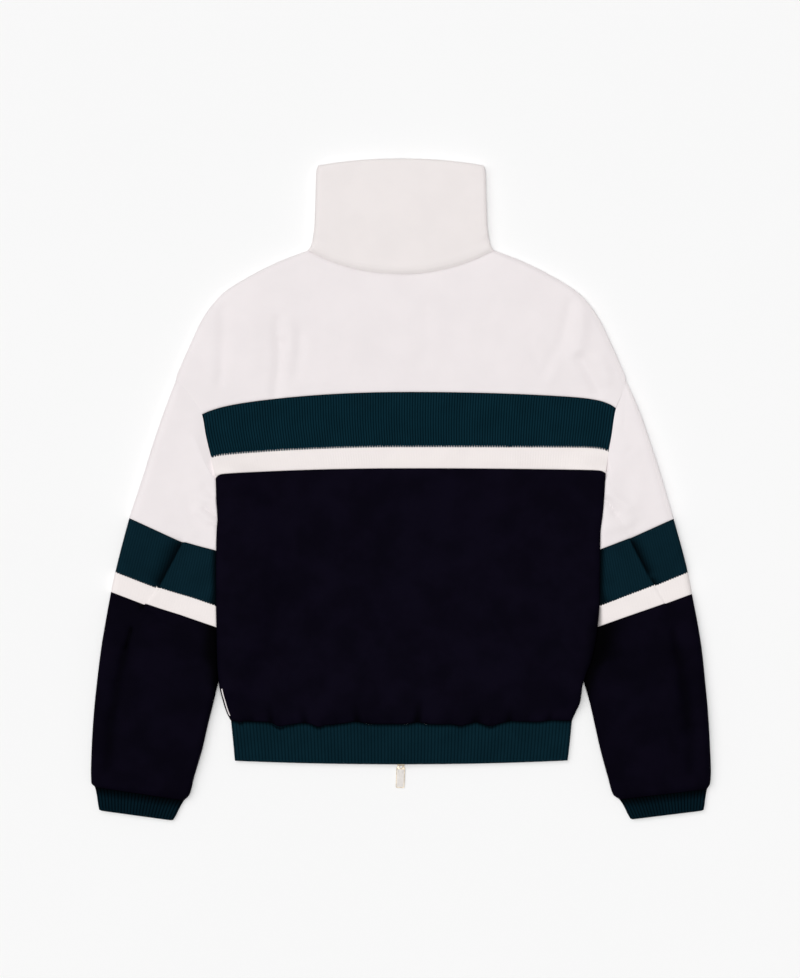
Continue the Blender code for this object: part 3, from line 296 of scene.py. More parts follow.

FLOOR_COLOUR = (0.93, 0.93, 0.93)
FLOOR_Z = -0.0003
FLOOR_HALF = 6.0
SURROUND = (0.15, 0.24)   # brightness at the horizon and overhead
SURROUND_COLOUR = (1.0, 0.997, 0.995, 1)
LAMPS = (                 # name, strength, angular size, azimuth and height of the lamp, all in degrees
    ("overhead", 1.64, 30.0, 0.0, 90.0),
    ("soft_key", 1.09, 50.0, 150.0, 54.0),
)
FRAME_HEIGHT = 1.2714     # of the floor that the camera sees, in metres
FRAME_CENTRE = (-0.0013, 0.0018)
TOP_LEVEL = 0.012


# ---------------------------------------------------------------- curves and noise

def smooth(t):
    """0 to 1 with level ends."""
    t = np.clip(t, 0, 1)
    return t * t * (3 - 2 * t)


def below(y, start, end):
    """0 above the start to 1 below the end, down the garment."""
    return smooth((start - y) / (start - end))


def along_line(reach, length, margin):
    """1 along a line, easing to 0 within this margin of its ends."""
    return smooth((reach + margin) / (2 * margin)) * smooth((length + margin - reach) / (2 * margin))


def bell(distance, half_width):
    return np.exp(-((distance / half_width) ** 2))


def dying(distance, reach):
    """1 at a seam or an edge, dying away from it."""
    return np.exp(-distance / reach)


def quarter_round(distance, radius):
    """Height share of a rounded edge at this distance in from it."""
    return np.sqrt(np.clip(1 - (1 - np.clip(distance / radius, 0, 1)) ** 2, 0, 1))


def spline(knots, values, at):
    """Cubic through the knots: each slope is the harmonic mean of the chords beside it, or level at a turn."""
    step = np.diff(knots)
    chord = np.diff(values) / step
    both = chord[:-1] * chord[1:]
    total = chord[:-1] + chord[1:]
    slope = np.concatenate([chord[:1], np.where(both > 0, 2 * both / np.where(total == 0, 1, total), 0), chord[-1:]])
    at = np.clip(at, knots[0], knots[-1])
    i = np.clip(np.searchsorted(knots, at, side="right") - 1, 0, len(step) - 1)
    t = (at - knots[i]) / step[i]
    start = step[i] * slope[i] * t * (1 - t) ** 2
    end = step[i] * slope[i + 1] * t * t * (t - 1)
    return values[i] + (values[i + 1] - values[i]) * smooth(t) + start + end


def knots_along(*lines):
    """Distance down a set of rows: the mean of the steps along the given lines of points."""
    steps = [np.hypot(*np.diff(np.stack(line), axis=1)) for line in lines]
    return np.concatenate([[0], np.cumsum(np.mean(steps, axis=0))])


def noise(x, y, size, seed):
    """Smooth noise from -1 to 1: random heights on a lattice of this size, eased between its corners."""
    heights = np.random.default_rng(seed).uniform(-1, 1, (64, 64))
    u, v = x / size + 31.5, y / size + 31.5
    i, j = np.floor(u).astype(int), np.floor(v).astype(int)
    a, b = smooth(u - i), smooth(v - j)
    i, j = i % 63, j % 63
    low = heights[i, j] * (1 - a) + heights[i + 1, j] * a
    high = heights[i, j + 1] * (1 - a) + heights[i + 1, j + 1] * a
    return low * (1 - b) + high * b


def from_line(x, y, start_x, start_y, end_x, end_y):
    """Distance along and across a line, and its length."""
    along_x, along_y = end_x - start_x, end_y - start_y
    length = math.hypot(along_x, along_y)
    reach = ((x - start_x) * along_x + (y - start_y) * along_y) / length
    across = ((x - start_x) * along_y - (y - start_y) * along_x) / length
    return reach, across, length


def folds(x, y):
    """Sum of the folds: a bell, a peak or a one-sided slope across each line, that fades at the line's ends.

    The second result is painted shade: how deep a point lies under an overlap or in a deep trough, from 0 to 1.
    """
    total = under = np.zeros(np.broadcast(x, y).shape)
    for start_x, start_y, end_x, end_y, half_width, height, form in zip(*FOLDS.values()):
        reach, across, length = from_line(x, y, start_x, start_y, end_x, end_y)
        across = across + FOLD_WANDER * half_width * np.sin(reach / 17.0) * (form < 2)
        fade = along_line(reach, length, min(half_width, 9.0))
        profile = painted_shade = bell(across, half_width)
        if form == 1:
            profile = np.exp((0.5 - np.sqrt(across ** 2 + 0.25)) * 1.6 / half_width)
        if form == 2:
            outward = -np.sign(start_x) * across / half_width
            profile = np.where(outward > 0, np.exp(-1.4 * np.abs(outward) ** 1.2), bell(across, 1.1))
            painted_shade = np.where(outward > 0, np.exp(-1.9 * np.abs(outward) ** 1.1), bell(across, 0.6))
        else:
            painted_shade = painted_shade * (-TROUGH_SHADE * height if height < DEEP_TROUGH else 0)
        total = total + height * fade * profile
        under = np.maximum(under, fade * painted_shade)
    return total, under


def gather_depth(x, y):
    """Sum of the gathers: wedges that start at the hem seam and close upwards."""
    total = np.zeros(np.broadcast(x, y).shape)
    above = y - BODY["mid_y"][-1]
    for place_x, reach, half_width, depth in zip(*GATHERS.values()):
        up = np.clip(1 - above / reach, 0, 1)
        lean = place_x + 0.12 * above * np.sign(place_x)
        total = total + depth * up ** 1.3 * bell(x - lean, half_width * (1.5 - 0.5 * up))
    return total


def wrinkles(x, y, seed):
    """Fine unevenness of padded cloth, longer up and down than across."""
    broad = 0.35 * noise(x, 0.5 * y, 42.0, seed)
    small = 0.16 * noise(x + 0.3 * y, 0.6 * y, 17.0, seed + 1)
    return broad + small


def seam_scallop(x):
    """How far the padded body sags over the hem seam, along X."""
    return sum(sag * bell(x - place_x, half_width) for place_x, half_width, sag in zip(*SAGS.values()))


def puckers(along, distance, seed):
    """Small waves that a line of stitches makes beside a seam, along it, dying away from it."""
    wave = noise(along, 0 * along, 4.2, seed) + 0.6 * noise(along, 0 * along, 9.5, seed + 1)
    return 0.22 * wave * dying(distance, 6.5)


def rib_shape(phase):
    """Round-topped ribs with narrow valleys, from 0 to 1. A whole phase is one rib."""
    return np.abs(np.cos(math.pi * phase)) ** 0.7


# ---------------------------------------------------------------- layout of the garment

BODY_KNOTS = knots_along((0 * BODY["mid_y"], BODY["mid_y"]), (BODY["left_x"], BODY["left_y"]))
SLEEVE_KNOTS = knots_along(*((SLEEVE[edge + "_x"], SLEEVE[edge + "_y"]) for edge in ("left_outer", "left")))
COLLAR_KNOTS = knots_along((0 * COLLAR["back_y"], COLLAR["back_y"]), (COLLAR["half_x"], COLLAR["side_y"]))
HEM_KNOTS = knots_along((0 * HEM["mid_y"], HEM["mid_y"]))
BODY_AT, SLEEVE_AT = (dict(zip(rows["row"].tolist(), knots.tolist()))
                      for rows, knots in ((BODY, BODY_KNOTS), (SLEEVE, SLEEVE_KNOTS)))


def body(column, at):
    return spline(BODY_KNOTS, BODY[column], at)


def sleeve(column, at):
    return spline(SLEEVE_KNOTS, SLEEVE[column], at)


def hand(side):
    """The wearer's left is on the -X side."""
    return "left" if side < 0 else "right"


def sleeve_inner_x(side, y):
    return side * np.interp(-y, -SLEEVE[hand(side) + "_y"], SLEEVE[hand(side) + "_x"])


def body_side_x(side, y):
    return np.interp(-y, -BODY[hand(side) + "_y"], BODY[hand(side) + "_x"])


def tucked(y):
    """1 where the sleeves lie under the body's sides, along Y."""
    return below(y, *LIFT_START) * (1 - below(y, *LIFT_END))


def body_lift(x, y):
    """Height of the body's underside: full over a sleeve's edge, then a soft ramp down to the floor."""
    past_edge = np.minimum(*(side * (sleeve_inner_x(side, y) - x) for side in (-1, 1))) - LIFT_MARGIN
    return SIDE_LIFT * (1 - smooth(past_edge / LIFT_RAMP)) * tucked(y)


def body_plan(at, across, front=False):
    """Plan of the body: rows that arch between the sides, and turn down a little at their ends."""
    left_x, right_x = body("left_x", at), body("right_x", at)
    mid_y = body("front_y" if front else "mid_y", at)
    x = left_x + (right_x - left_x) * (across + 1) / 2
    end_y = np.where(across < 0, body("left_y", at), body("right_y", at))
    y = mid_y + (end_y - mid_y) * np.abs(across) ** ARCH
    for side, inwards in (("left", x - left_x), ("right", right_x - x)):
        y = y - body(side + "_droop", at) * dying(inwards, body(side + "_reach", at))
    y = y - seam_scallop(x) * dying(np.maximum(y - HEM_SEAM_Y, 0), SAG_FADE[0])
    return x, y


def meeting_height(x, y, at, wall):
    """Where the fronts end and the back begins."""
    return body_lift(x, y) + wall * body("under", at) + LAYER_GAP / 2


def side_distance(x, at):
    return np.minimum(x - body("left_x", at), body("right_x", at) - x)


def side_round(x, at):
    """Height share near the body's sides, where the wadding is rounded off."""
    return 1 - body("round", at) * (1 - quarter_round(side_distance(x, at), BODY_ROUND))


def down_rows(x, y):
    """Distances of a grid's points from its first and its last row, measured down each column."""
    steps = np.hypot(np.diff(x, axis=0), np.diff(y, axis=0))
    down = np.concatenate([np.zeros((1, x.shape[1])), np.cumsum(steps, 0)])
    return down, down[-1:] - down


def stations(first, last, spacing, ends=(0.3, 0.9, 1.9, 3.4)):
    """Distances from first to last: close together at both ends, even between."""
    ends = np.array(ends)
    count = max(int((last - first - 2 * ends[-1]) / spacing), 2)
    middle = np.linspace(first + ends[-1], last - ends[-1], count)
    return np.concatenate([[first], first + ends[:-1], middle, (last - ends[:-1])[::-1], [last]])


def side_places(width, spacing, ends=(0.25, 0.8, 1.7, 3.0, 4.6, 6.5)):
    """Places from 0 to 1: close together at both sides."""
    return stations(0, width, spacing, ends) / width


def ribbed_places(plain, width, rib, points):
    """The plain places, or so many to each rib across the width, and the rib's height share at each."""
    if not rib[0]:
        return plain[None, :], 0 * plain[None, :]
    ribs = round(width / rib[0])
    place = np.linspace(0, 1, ribs * points + 1)[None, :]
    return place, rib_shape(place * ribs)


def toothed(y, down, up, crest, rib):
    """Rows beside a toothed seam, which reach further where there is a rib."""
    tooth = rib[2] * dying(down, TOOTH_FADE) + rib[3] * dying(up, TOOTH_FADE)
    return y - tooth * (crest - RIB_LEVEL) * TOOTH


# ---------------------------------------------------------------- mesh making

def seam_triangles(edge, other, points):
    """Triangles between two runs of points, in step by the share of length reached on each."""
    def shares(run):
        steps = np.linalg.norm(np.diff(points[run], axis=0), axis=1)
        return np.concatenate([[0], np.cumsum(steps) / steps.sum()])
    here, there = shares(edge), shares(other)
    here[-1] = there[-1] = 1
    i = np.arange(len(edge) - 1)
    j = np.minimum(np.searchsorted(there[1:], here[1:], side="left"), len(other) - 1)
    outward = np.stack([edge[i], edge[i + 1], other[j]], 1)
    j = np.arange(len(other) - 1)
    i = np.minimum(np.searchsorted(here[1:], there[1:], side="right"), len(edge) - 1)
    inward = np.stack([edge[i], other[j + 1], other[j]], 1)
    return np.concatenate([outward, inward])


def grid_quads(index):
    corners = index[:-1, :-1], index[:-1, 1:], index[1:, 1:], index[1:, :-1]
    return np.stack([corner.ravel() for corner in corners], 1)


def ring_quads(index):
    """Faces between rows of points, where each row is closed on itself."""
    after = np.roll(index, -1, 1)
    return np.stack([index[:-1], after[:-1], after[1:], index[1:]], -1).reshape(-1, 4)


def linked(name, data):
    """A new object in the scene."""
    made = bpy.data.objects.new(name, data)
    bpy.context.scene.collection.objects.link(made)
    return made


def mesh_from(name, points, quads, triangles, cloth_uv=None, marks=None, angle=40):
    """A mesh object from arrays in millimetres, with its faces turned outwards."""
    mesh = bpy.data.meshes.new(name)
    mesh.vertices.add(len(points))
    mesh.vertices.foreach_set("co", (points * MM).astype(np.float32).ravel())
    corners = np.concatenate([quads.ravel(), triangles.ravel()]).astype(np.int32)
    sizes = np.concatenate([np.full(len(quads), 4), np.full(len(triangles), 3)])
    mesh.loops.add(len(corners))
    mesh.loops.foreach_set("vertex_index", corners)
    mesh.polygons.add(len(sizes))
    mesh.polygons.foreach_set("loop_start", np.concatenate([[0], np.cumsum(sizes)[:-1]]).astype(np.int32))
    if cloth_uv is not None:
        layer = mesh.uv_layers.new(name="cloth")
        layer.data.foreach_set("uv", (cloth_uv[corners] * MM).astype(np.float32).ravel())
    for key, values in (marks or {}).items():
        attribute = mesh.attributes.new(key, "FLOAT", "POINT")
        attribute.data.foreach_set("value", values.astype(np.float32))
    mesh.update(calc_edges=True)
    mesh.validate()
    shape = bmesh.new()
    shape.from_mesh(mesh)
    bmesh.ops.recalc_face_normals(shape, faces=shape.faces)
    shape.to_mesh(mesh)
    shape.free()
    mesh.shade_smooth()
    mesh.set_sharp_from_angle(angle=math.radians(angle))
    return linked(name, mesh)


def wall(name, outer, inner, closed=False):
    """A cloth piece from two grids of (x, y, z, u, v, rib, seam, under) joined round their edges.

    u and v are the place on the flat cloth, rib the height share of the rib there, seam the distance to the
    nearest seam, and under how deep in shade it lies. A closed wall is a tube, whose last column is the first
    one again.
    """
    outer_index = np.arange(outer.shape[0] * outer.shape[1]).reshape(outer.shape[:2])
    inner_index = outer_index.size + np.arange(inner.shape[0] * inner.shape[1]).reshape(inner.shape[:2])
    facts = np.concatenate([outer.reshape(-1, 8), inner.reshape(-1, 8)])
    points = facts[:, :3]
    runs = [(outer_index[0], inner_index[0]), (outer_index[-1], inner_index[-1])]
    if not closed:
        runs.append((outer_index[:, 0], inner_index[:, 0]))
        runs.append((outer_index[:, -1], inner_index[:, -1]))
    quads = np.concatenate([grid_quads(outer_index), grid_quads(inner_index)[:, ::-1]])
    triangles = np.concatenate([seam_triangles(edge, other, points) for edge, other in runs])
    if closed:
        same = np.arange(len(points))
        for index in (outer_index, inner_index):
            same[index[:, -1]] = index[:, 0]
        kept, back = np.unique(same, return_inverse=True)
        quads, triangles, facts = back[same[quads]], back[same[triangles]], facts[kept]
    marks = {"rib": facts[:, 5], "seam": facts[:, 6], "under": facts[:, 7]}
    return mesh_from(name, facts[:, :3], quads, triangles, facts[:, 3:5], marks)


def grid(x, y, z, u, v, rib=0.0, seam=FAR, under=0.0):
    """One array of a wall's facts from arrays that broadcast."""
    return np.stack(np.broadcast_arrays(x, y, z, u, v, rib, np.minimum(seam, FAR), under), -1)


# ---------------------------------------------------------------- body

def seam_dip(distance, depth=SEAM_DIP):
    """How far a seam pulls the cloth down at this distance from it."""
    return depth * (1 - quarter_round(distance, SEAM_ROUND))


def soft_dip(distance, depth):
    """The shallow trough of a seam that is turned inwards and pressed."""
    return depth * bell(distance, SOFT_SEAM)


def zip_edge(x, depth=2.0, radius=2.6):
    """How far the cloth's outer face is rounded off along the zip."""
    return depth * (1 - quarter_round(np.abs(x) - ZIP_CHANNEL, radius))


def beside_sleeve(x, y, at):
    """Shade along the right side of the navy back, where the sleeve's padding stands against it."""
    rows = below(y, *SHADE_START) * (1 - below(y, *SHADE_END))
    return BESIDE_SLEEVE * (x > 0) * rows * bell(side_distance(x, at), BESIDE_SLEEVE_REACH)


def back_panel(name, first, last, wall_mm, dips, seed, rib):
    """A back panel between two named rows.

    Height is the meeting height, plus the wall with its puff, folds, dips and ribs, times the side's rounding.
    dips are the seam depths at the first and last row. rib is (pitch, height, tooth at first, tooth at last).
    """
    start, end = BODY_AT[first] + SEAM_GAP * (first != "neck"), BODY_AT[last] - SEAM_GAP
    at = stations(start, end, RIB_ROWS if rib[0] else FINE)[:, None]
    place, crest = ribbed_places(side_places(BACK_WIDTH, FINE), BACK_RIB_WIDTH, rib, RIB_POINTS)
    x, y = body_plan(at, 2 * place - 1)
    down, up = down_rows(x, y)
    y = toothed(y, down, up, crest, rib)
    soft = 1 - dying(np.minimum(np.minimum(down, up), side_distance(x, at)), PUFF_REACH)
    height = wall_mm * body("over", at) + folds(x, y)[0] - gather_depth(x, y) + rib[1] * (crest - RIB_LEVEL)
    height = height + PUFF * soft * (RIB_PUFF if rib[0] else 1) + wrinkles(x, y, seed) * (RIB_WRINKLE if rib[0] else 1)
    for distance, dip, turn in ((down, dips[0], 0), (up, dips[1], 5)):
        groove = soft_dip if first == "neck" and turn == 0 else seam_dip
        height = height - groove(distance, dip) + puckers(x, distance, seed + 10 + turn)
    bottom = meeting_height(x, y, at, wall_mm) + LAYER_GAP / 2
    z = bottom + LAND + (height - LAND) * side_round(x, at)
    # painted shade: gathers and the strip beside the right sleeve are darkened in the colour through the under
    # attribute
    shaded = np.maximum(np.clip(gather_depth(x, y) / GATHER_SHADE, 0, 1), beside_sleeve(x, y, at))
    outer = grid(x, y, z, x, -down, crest, np.minimum(down, up), shaded)

    at = stations(start, end, INSIDE, ends=(4.0,))[:, None]
    x, y = body_plan(at, 2 * side_places(BACK_WIDTH, INSIDE, ends=(2.0, 7.0))[None, :] - 1)
    lifted = INNER_FOLD * np.maximum(folds(x, y)[0], 0) * quarter_round(side_distance(x, at), BODY_ROUND)
    z = meeting_height(x, y, at, wall_mm) + LAYER_GAP / 2 + lifted
    return wall(name, outer, grid(x, y, z, x, y)), outer


def front_plan(side, at, place):
    """Plan of a front, by its share from the zip to the side."""
    left_x, right_x = body("left_x", at), body("right_x", at)
    edge = right_x if side > 0 else left_x
    x = side * ZIP_CHANNEL + (edge - side * ZIP_CHANNEL) * place
    return body_plan(at, (2 * x - left_x - right_x) / (right_x - left_x), front=True)


def front_panel(name, side, first, last, wall_mm, dips, seed, rib):
    """A front panel on one side of the zip, whose outer face lies on the floor."""
    start, end = BODY_AT[first] + SEAM_GAP, BODY_AT[last] - SEAM_GAP
    at = stations(start, end, FRONT_ROWS)[:, None]
    plain = side_places(FRONT_WIDTH, UNDER_COLUMNS, ends=(0.4, 1.2, 2.6, 4.6, 6.5))
    place, crest = ribbed_places(plain, FRONT_RIB_WIDTH, rib, FRONT_RIB_POINTS)
    x, y = front_plan(side, at, place)
    down, up = down_rows(x, y)
    to_side = side_distance(x, at)
    meeting = meeting_height(x, y, at, wall_mm) - LAYER_GAP / 2
    dip = seam_dip(down, dips[0]) + seam_dip(up, dips[1]) + zip_edge(x) + rib[1] * (1 - crest)
    dip = dip + seam_dip(to_side, ARMHOLE_DIP) * (1 - body("round", at))
    low = 0.25 * (noise(x, y, 30.0, seed) + 1) * smooth(np.minimum(to_side, np.abs(x) - ZIP_CHANNEL) / 12)
    z = meeting - LAND + (LAND - wall_mm * body("under", at) + dip + low) * side_round(x, at)
    outer = grid(x, y, np.minimum(z, meeting - LAYER_GAP), x, -down, crest, np.minimum(down, up))

    at = stations(start, end, INSIDE, ends=(4.0,))[:, None]
    x, y = front_plan(side, at, side_places(FRONT_WIDTH, INSIDE, ends=(3.0, 8.0))[None, :])
    return wall(name, outer, grid(x, y, meeting_height(x, y, at, wall_mm) - LAYER_GAP / 2, x, y))


# ---------------------------------------------------------------- sleeves

def armhole(side, across):
    """The armhole seam's plan, by share of its length, less the straight line between its ends."""
    at = np.linspace(BODY_AT["armhole_top"], BODY_AT["armpit"], 200)
    points = np.stack(body_plan(at, np.full(at.size, float(side))))
    reached = np.concatenate([[0], np.cumsum(np.hypot(*np.diff(points)))])
    on_seam = np.stack([np.interp(across, reached / reached[-1], row) for row in points])
    return on_seam - (points[:, :1] + (points[:, -1:] - points[:, :1]) * across)


def sleeve_plan(side, at, across):
    """Plan of a sleeve: straight rows from its outer to its inner edge, bowed like the armhole at the top."""
    keys = ("_outer_x", "_outer_y", "_x", "_y", "_sag", "_crease")
    outer_x, outer_y, inner_x, inner_y, sag, crease = (sleeve(hand(side) + key, at) for key in keys)
    droop, bow = body(hand(side) + "_droop", BODY_AT["armpit"]), sleeve("bow", at)
    bow_x, bow_y = armhole(side, across.ravel())
    x = side * (outer_x + (inner_x - outer_x) * across) + bow * bow_x[None, :]
    y = outer_y + (inner_y - outer_y) * across + bow * (bow_y[None, :] - droop * across)
    *line, slip = CREASE[side]
    reach, past, length = from_line(x, y, *line)
    inside = smooth(0.5 + side * past / 1.6) * dying(np.abs(past), CREASE_FADE)
    tent = np.where(across < crease, across / crease, np.clip(1 - (across - crease) / CREASE_RUN, 0, 1))
    return x, y + slip * along_line(reach, length, CREASE_ENDS) * inside - sag * tent


def sleeve_body(side, at, across):
    """Plan, thickness and how free it is of the body's weight."""
    x, y = sleeve_plan(side, at, across)
    outside = side * (x - body_side_x(side, y))
    loose = 1 - tucked(y) * (1 - smooth((outside + PRESS_START) / PRESS_REACH))
    swell = SWELL * tucked(y) * (1 - smooth(outside / SWELL_REACH))
    thick = TUCKED_SLEEVE + (sleeve("thick", at) + swell - TUCKED_SLEEVE) * loose
    return x, y, thick, loose


def sleeve_shade(side, y, outside, under, top, cream):
    """How deep in shade a sleeve is: in its folds, beside the body and, on the right cream, just under it."""
    outside = np.maximum(outside, 0)
    wider = below(y, *WIDER_START) * (1 - 0.6 * below(y, *WIDER_END))
    beside_body = BESIDE_BODY * tucked(y) * (not top) * bell(outside, BESIDE_REACH + WIDER_BY[int(side > 0)] * wider)
    tuck_reach = TUCK_REACH * (0.7 + np.clip((TUCK_TOP - y) / 50, 0, 0.7))
    tuck = TUCK_SHADE * (side > 0) * smooth((TUCK_TOP - y) / 8) * bell(outside, tuck_reach)
    return np.maximum((CREAM_SHADE if cream else 1.0) * np.maximum(under, beside_body), tuck)


def around(over, under):
    """Columns of a tube: over it, back under it and to the first again."""
    return np.concatenate([over, under[:, -2:0:-1], over[:, :1]], 1)


def sleeve_piece(name, side, first, last, wall_mm, dips, seed, rib, foot=False):
    """One length of a sleeve: a flattened tube with rounded edges, folded and ribbed on top."""
    top, plain = first == "armhole", not rib[0]
    start, end = SLEEVE_AT[first] + SEAM_GAP * (not top), SLEEVE_AT[last] - SEAM_GAP
    at = stations(start, end, FINE if plain else TUBE_ROWS, ends=TUBE_ENDS)[:, None]
    ends_x, ends_y = sleeve_plan(side, np.array([[(start + end) / 2]]), np.array([[0.0, 1.0]]))
    width = float(np.hypot(np.diff(ends_x), np.diff(ends_y))[0, 0])
    over, over_crest = ribbed_places(side_places(width, FINE), width, rib, RIB_POINTS)
    plain_under = side_places(width, UNDER_COLUMNS, ends=(0.8, 2.4, 5.0))
    under, under_crest = ribbed_places(plain_under, width, rib, UNDER_RIB_POINTS)
    run, crest = around(over, under), around(over_crest, under_crest)
    upper = np.arange(run.size)[None, :] < over.size
    x, y, thick, loose = sleeve_body(side, at, run)
    outside = side * (x - body_side_x(side, y))
    down, up = down_rows(x, y)
    y = toothed(y, down, up, crest, rib)
    far = over.size - 1
    edge = np.minimum(run, 1 - run) * np.hypot(*(line[:, :1] - line[:, far:far + 1] for line in (x, y)))
    if foot:
        y = y + CUFF_CORNER * dying(edge, 2.2) * smooth(1 - up / 9)
    share, low_share = quarter_round(edge, 0.75 * thick), quarter_round(edge, 0.35 * thick)
    soft = 1 - dying(np.minimum(down, 60 if foot else up), PUFF_REACH)
    sink = seam_dip(down, dips[0]) + seam_dip(up, dips[1])
    height, painted_shade = folds(x, y)
    relief = (height + wrinkles(x, y, seed) + PUFF * soft * plain) * loose - sink * (0.4 + 0.6 * loose)
    relief = relief + puckers(run * width, down, seed + 3) * (dips[0] > 0) * loose + rib[1] * (crest - RIB_LEVEL)
    hollow = 0.5 * sink + 0.3 * (noise(x, y, 30.0, seed + 5) + 1) * plain + rib[1] * (1 - crest)
    offset = np.where(upper, (thick / 2 + relief) * share, (hollow - thick / 2) * low_share)
    z = thick / 2 + offset * (0.5 + 0.5 * quarter_round(up, 1.5) if foot else 1)
    to_seam = np.minimum(FAR if top else down, FAR if foot else up)
    # painted shade: folds, the strip beside the body and the cream's tuck under it are darkened in the colour
    shaded = sleeve_shade(side, y, outside, painted_shade, top, rib[1] == CREAM_RIB_HEIGHT)
    outer = grid(x, y, z, run * width, -down, crest, to_seam, shaded * upper)

    reach = wall_mm / width
    there = np.linspace(reach, 1 - reach, SLIT_COLUMNS + 2)
    slit = np.concatenate([there, there[-2::-1]])[None, :]
    gap = np.repeat([0, 1, 0, -1, 0], (1, SLIT_COLUMNS, 1, SLIT_COLUMNS, 1)) * SLIT / 2
    at = stations(start, end, INSIDE, ends=(3.0,))[:, None]
    x, y, thick, _ = sleeve_body(side, at, slit)
    return wall(name, outer, grid(x, y, thick / 2 + gap[None, :], slit * width, y), closed=True)


# ---------------------------------------------------------------- collar and hem

def open_run(over, under):
    """Layer, side and place of each column round a band that is open at the zip."""
    layer = np.concatenate([np.full(under.size, -1), np.full(over.size, 1), np.full(under.size, -1)])
    side = np.concatenate([np.full(under.size, -1), np.where(over < 0, -1, 1), np.full(under.size, 1)])
    place = np.concatenate([under, np.abs(over), under[::-1]])
    return layer[None, :], side[None, :], place[None, :]


def band_plan(left, right, left_y, right_y, over_y, under_y, run):
    """Plan of such a band and the distance of each point from its side."""
    layer, side, place = run
    middle, half = (left + right) / 2, (right - left) / 2
    edge = np.where(side < 0, left, right)
    from_zip = side * ZIP_CHANNEL
    x = np.where(layer > 0, middle + side * half * place, from_zip + (edge - from_zip) * place)
    end_y = np.where(side < 0, left_y, right_y)
    centre = np.where(layer > 0, over_y, under_y)
    y = centre + (end_y - centre) * np.abs((x - middle) / half) ** ARCH
    return x, y, np.abs(edge - x)


def band_inside(at, run, plan, margin, middle):
    """The inside of a flat band: two layers a slit apart, that meet this margin in from its sides."""
    layer, side, _ = run
    x, y, to_side = plan(at, run)
    near = to_side < margin
    return np.where(near, x - side * (margin - to_side), x), y, middle + np.where(near, 0, layer * SLIT / 2)


def collar_at(column, at):
    return spline(COLLAR_KNOTS, COLLAR[column], at)


def collar_plan(at, run):
    half, side_y = collar_at("half_x", at), collar_at("side_y", at)
    return band_plan(-half, half, side_y, side_y, collar_at("back_y", at), collar_at("front_y", at), run)


def collar(name):
    """The funnel collar: flattened, open at the zip, its top edge a soft fold."""
    at = stations(0, COLLAR_KNOTS[-1], FINE, ends=(0.4, 1.0, 2.0, 3.4, 5.2))[:, None]
    over = 2 * side_places(COLLAR_WIDTH, FINE) - 1
    run = open_run(over, stations(0, 1, 0.045, ends=(0.004, 0.012, 0.025, 0.05))[:-1])
    x, y, to_side = collar_plan(at, run)
    middle, thick = collar_at("middle", at), collar_at("over", at)
    down, up = down_rows(x, y)
    top = 0.45 + 0.55 * quarter_round(up, 4.5)
    soft = 1 - dying(np.minimum(down, up + 14), PUFF_REACH)
    neck_fold = bell(down - 9, 6) * (0.5 + 0.5 * bell(x, 70))
    side_gathers = 0.9 * bell(to_side, 9) * np.sin(down / 3.2) * bell(down - 18, 14)
    relief = 1.2 * soft + 0.8 * wrinkles(x, y, 61) + neck_fold + side_gathers - soft_dip(down, 1.3)
    relief = relief + puckers(x, down, 64)
    high = middle + (thick + SLIT / 2 + relief) * quarter_round(to_side, 4.2) * top
    low_share = quarter_round(to_side, 2.5) * top
    low = middle + (zip_edge(x) + seam_dip(down, 1.0) - middle) * low_share
    z = np.where(run[0] > 0, high, np.minimum(low, middle - SLIT))
    outer = grid(x, y, z, x, -down, 0, down)

    at = stations(0, COLLAR_KNOTS[-1], INSIDE, ends=(4.0,))[:, None]
    run = open_run(2 * side_places(COLLAR_WIDTH, INSIDE, ends=(8.0,)) - 1, np.linspace(0, 1, 9)[:-1])
    x, y, z = band_inside(at, run, collar_plan, COLLAR_MARGIN, collar_at("middle", at))
    return wall(name, outer, grid(x, y, z, x, y))


def hem_plan(at, run):
    columns = (spline(HEM_KNOTS, HEM[key], at) for key in ("left_x", "right_x", "left_y", "right_y", "mid_y", "mid_y"))
    return band_plan(*columns, run)


def hem_bump(at, x, layer):
    bump = SLIDER_BUMP * np.interp(at, HEM_KNOTS, HEM["bump"]) * bell(x, SLIDER_BUMP_HALF)
    return np.where(layer > 0, bump, 0)


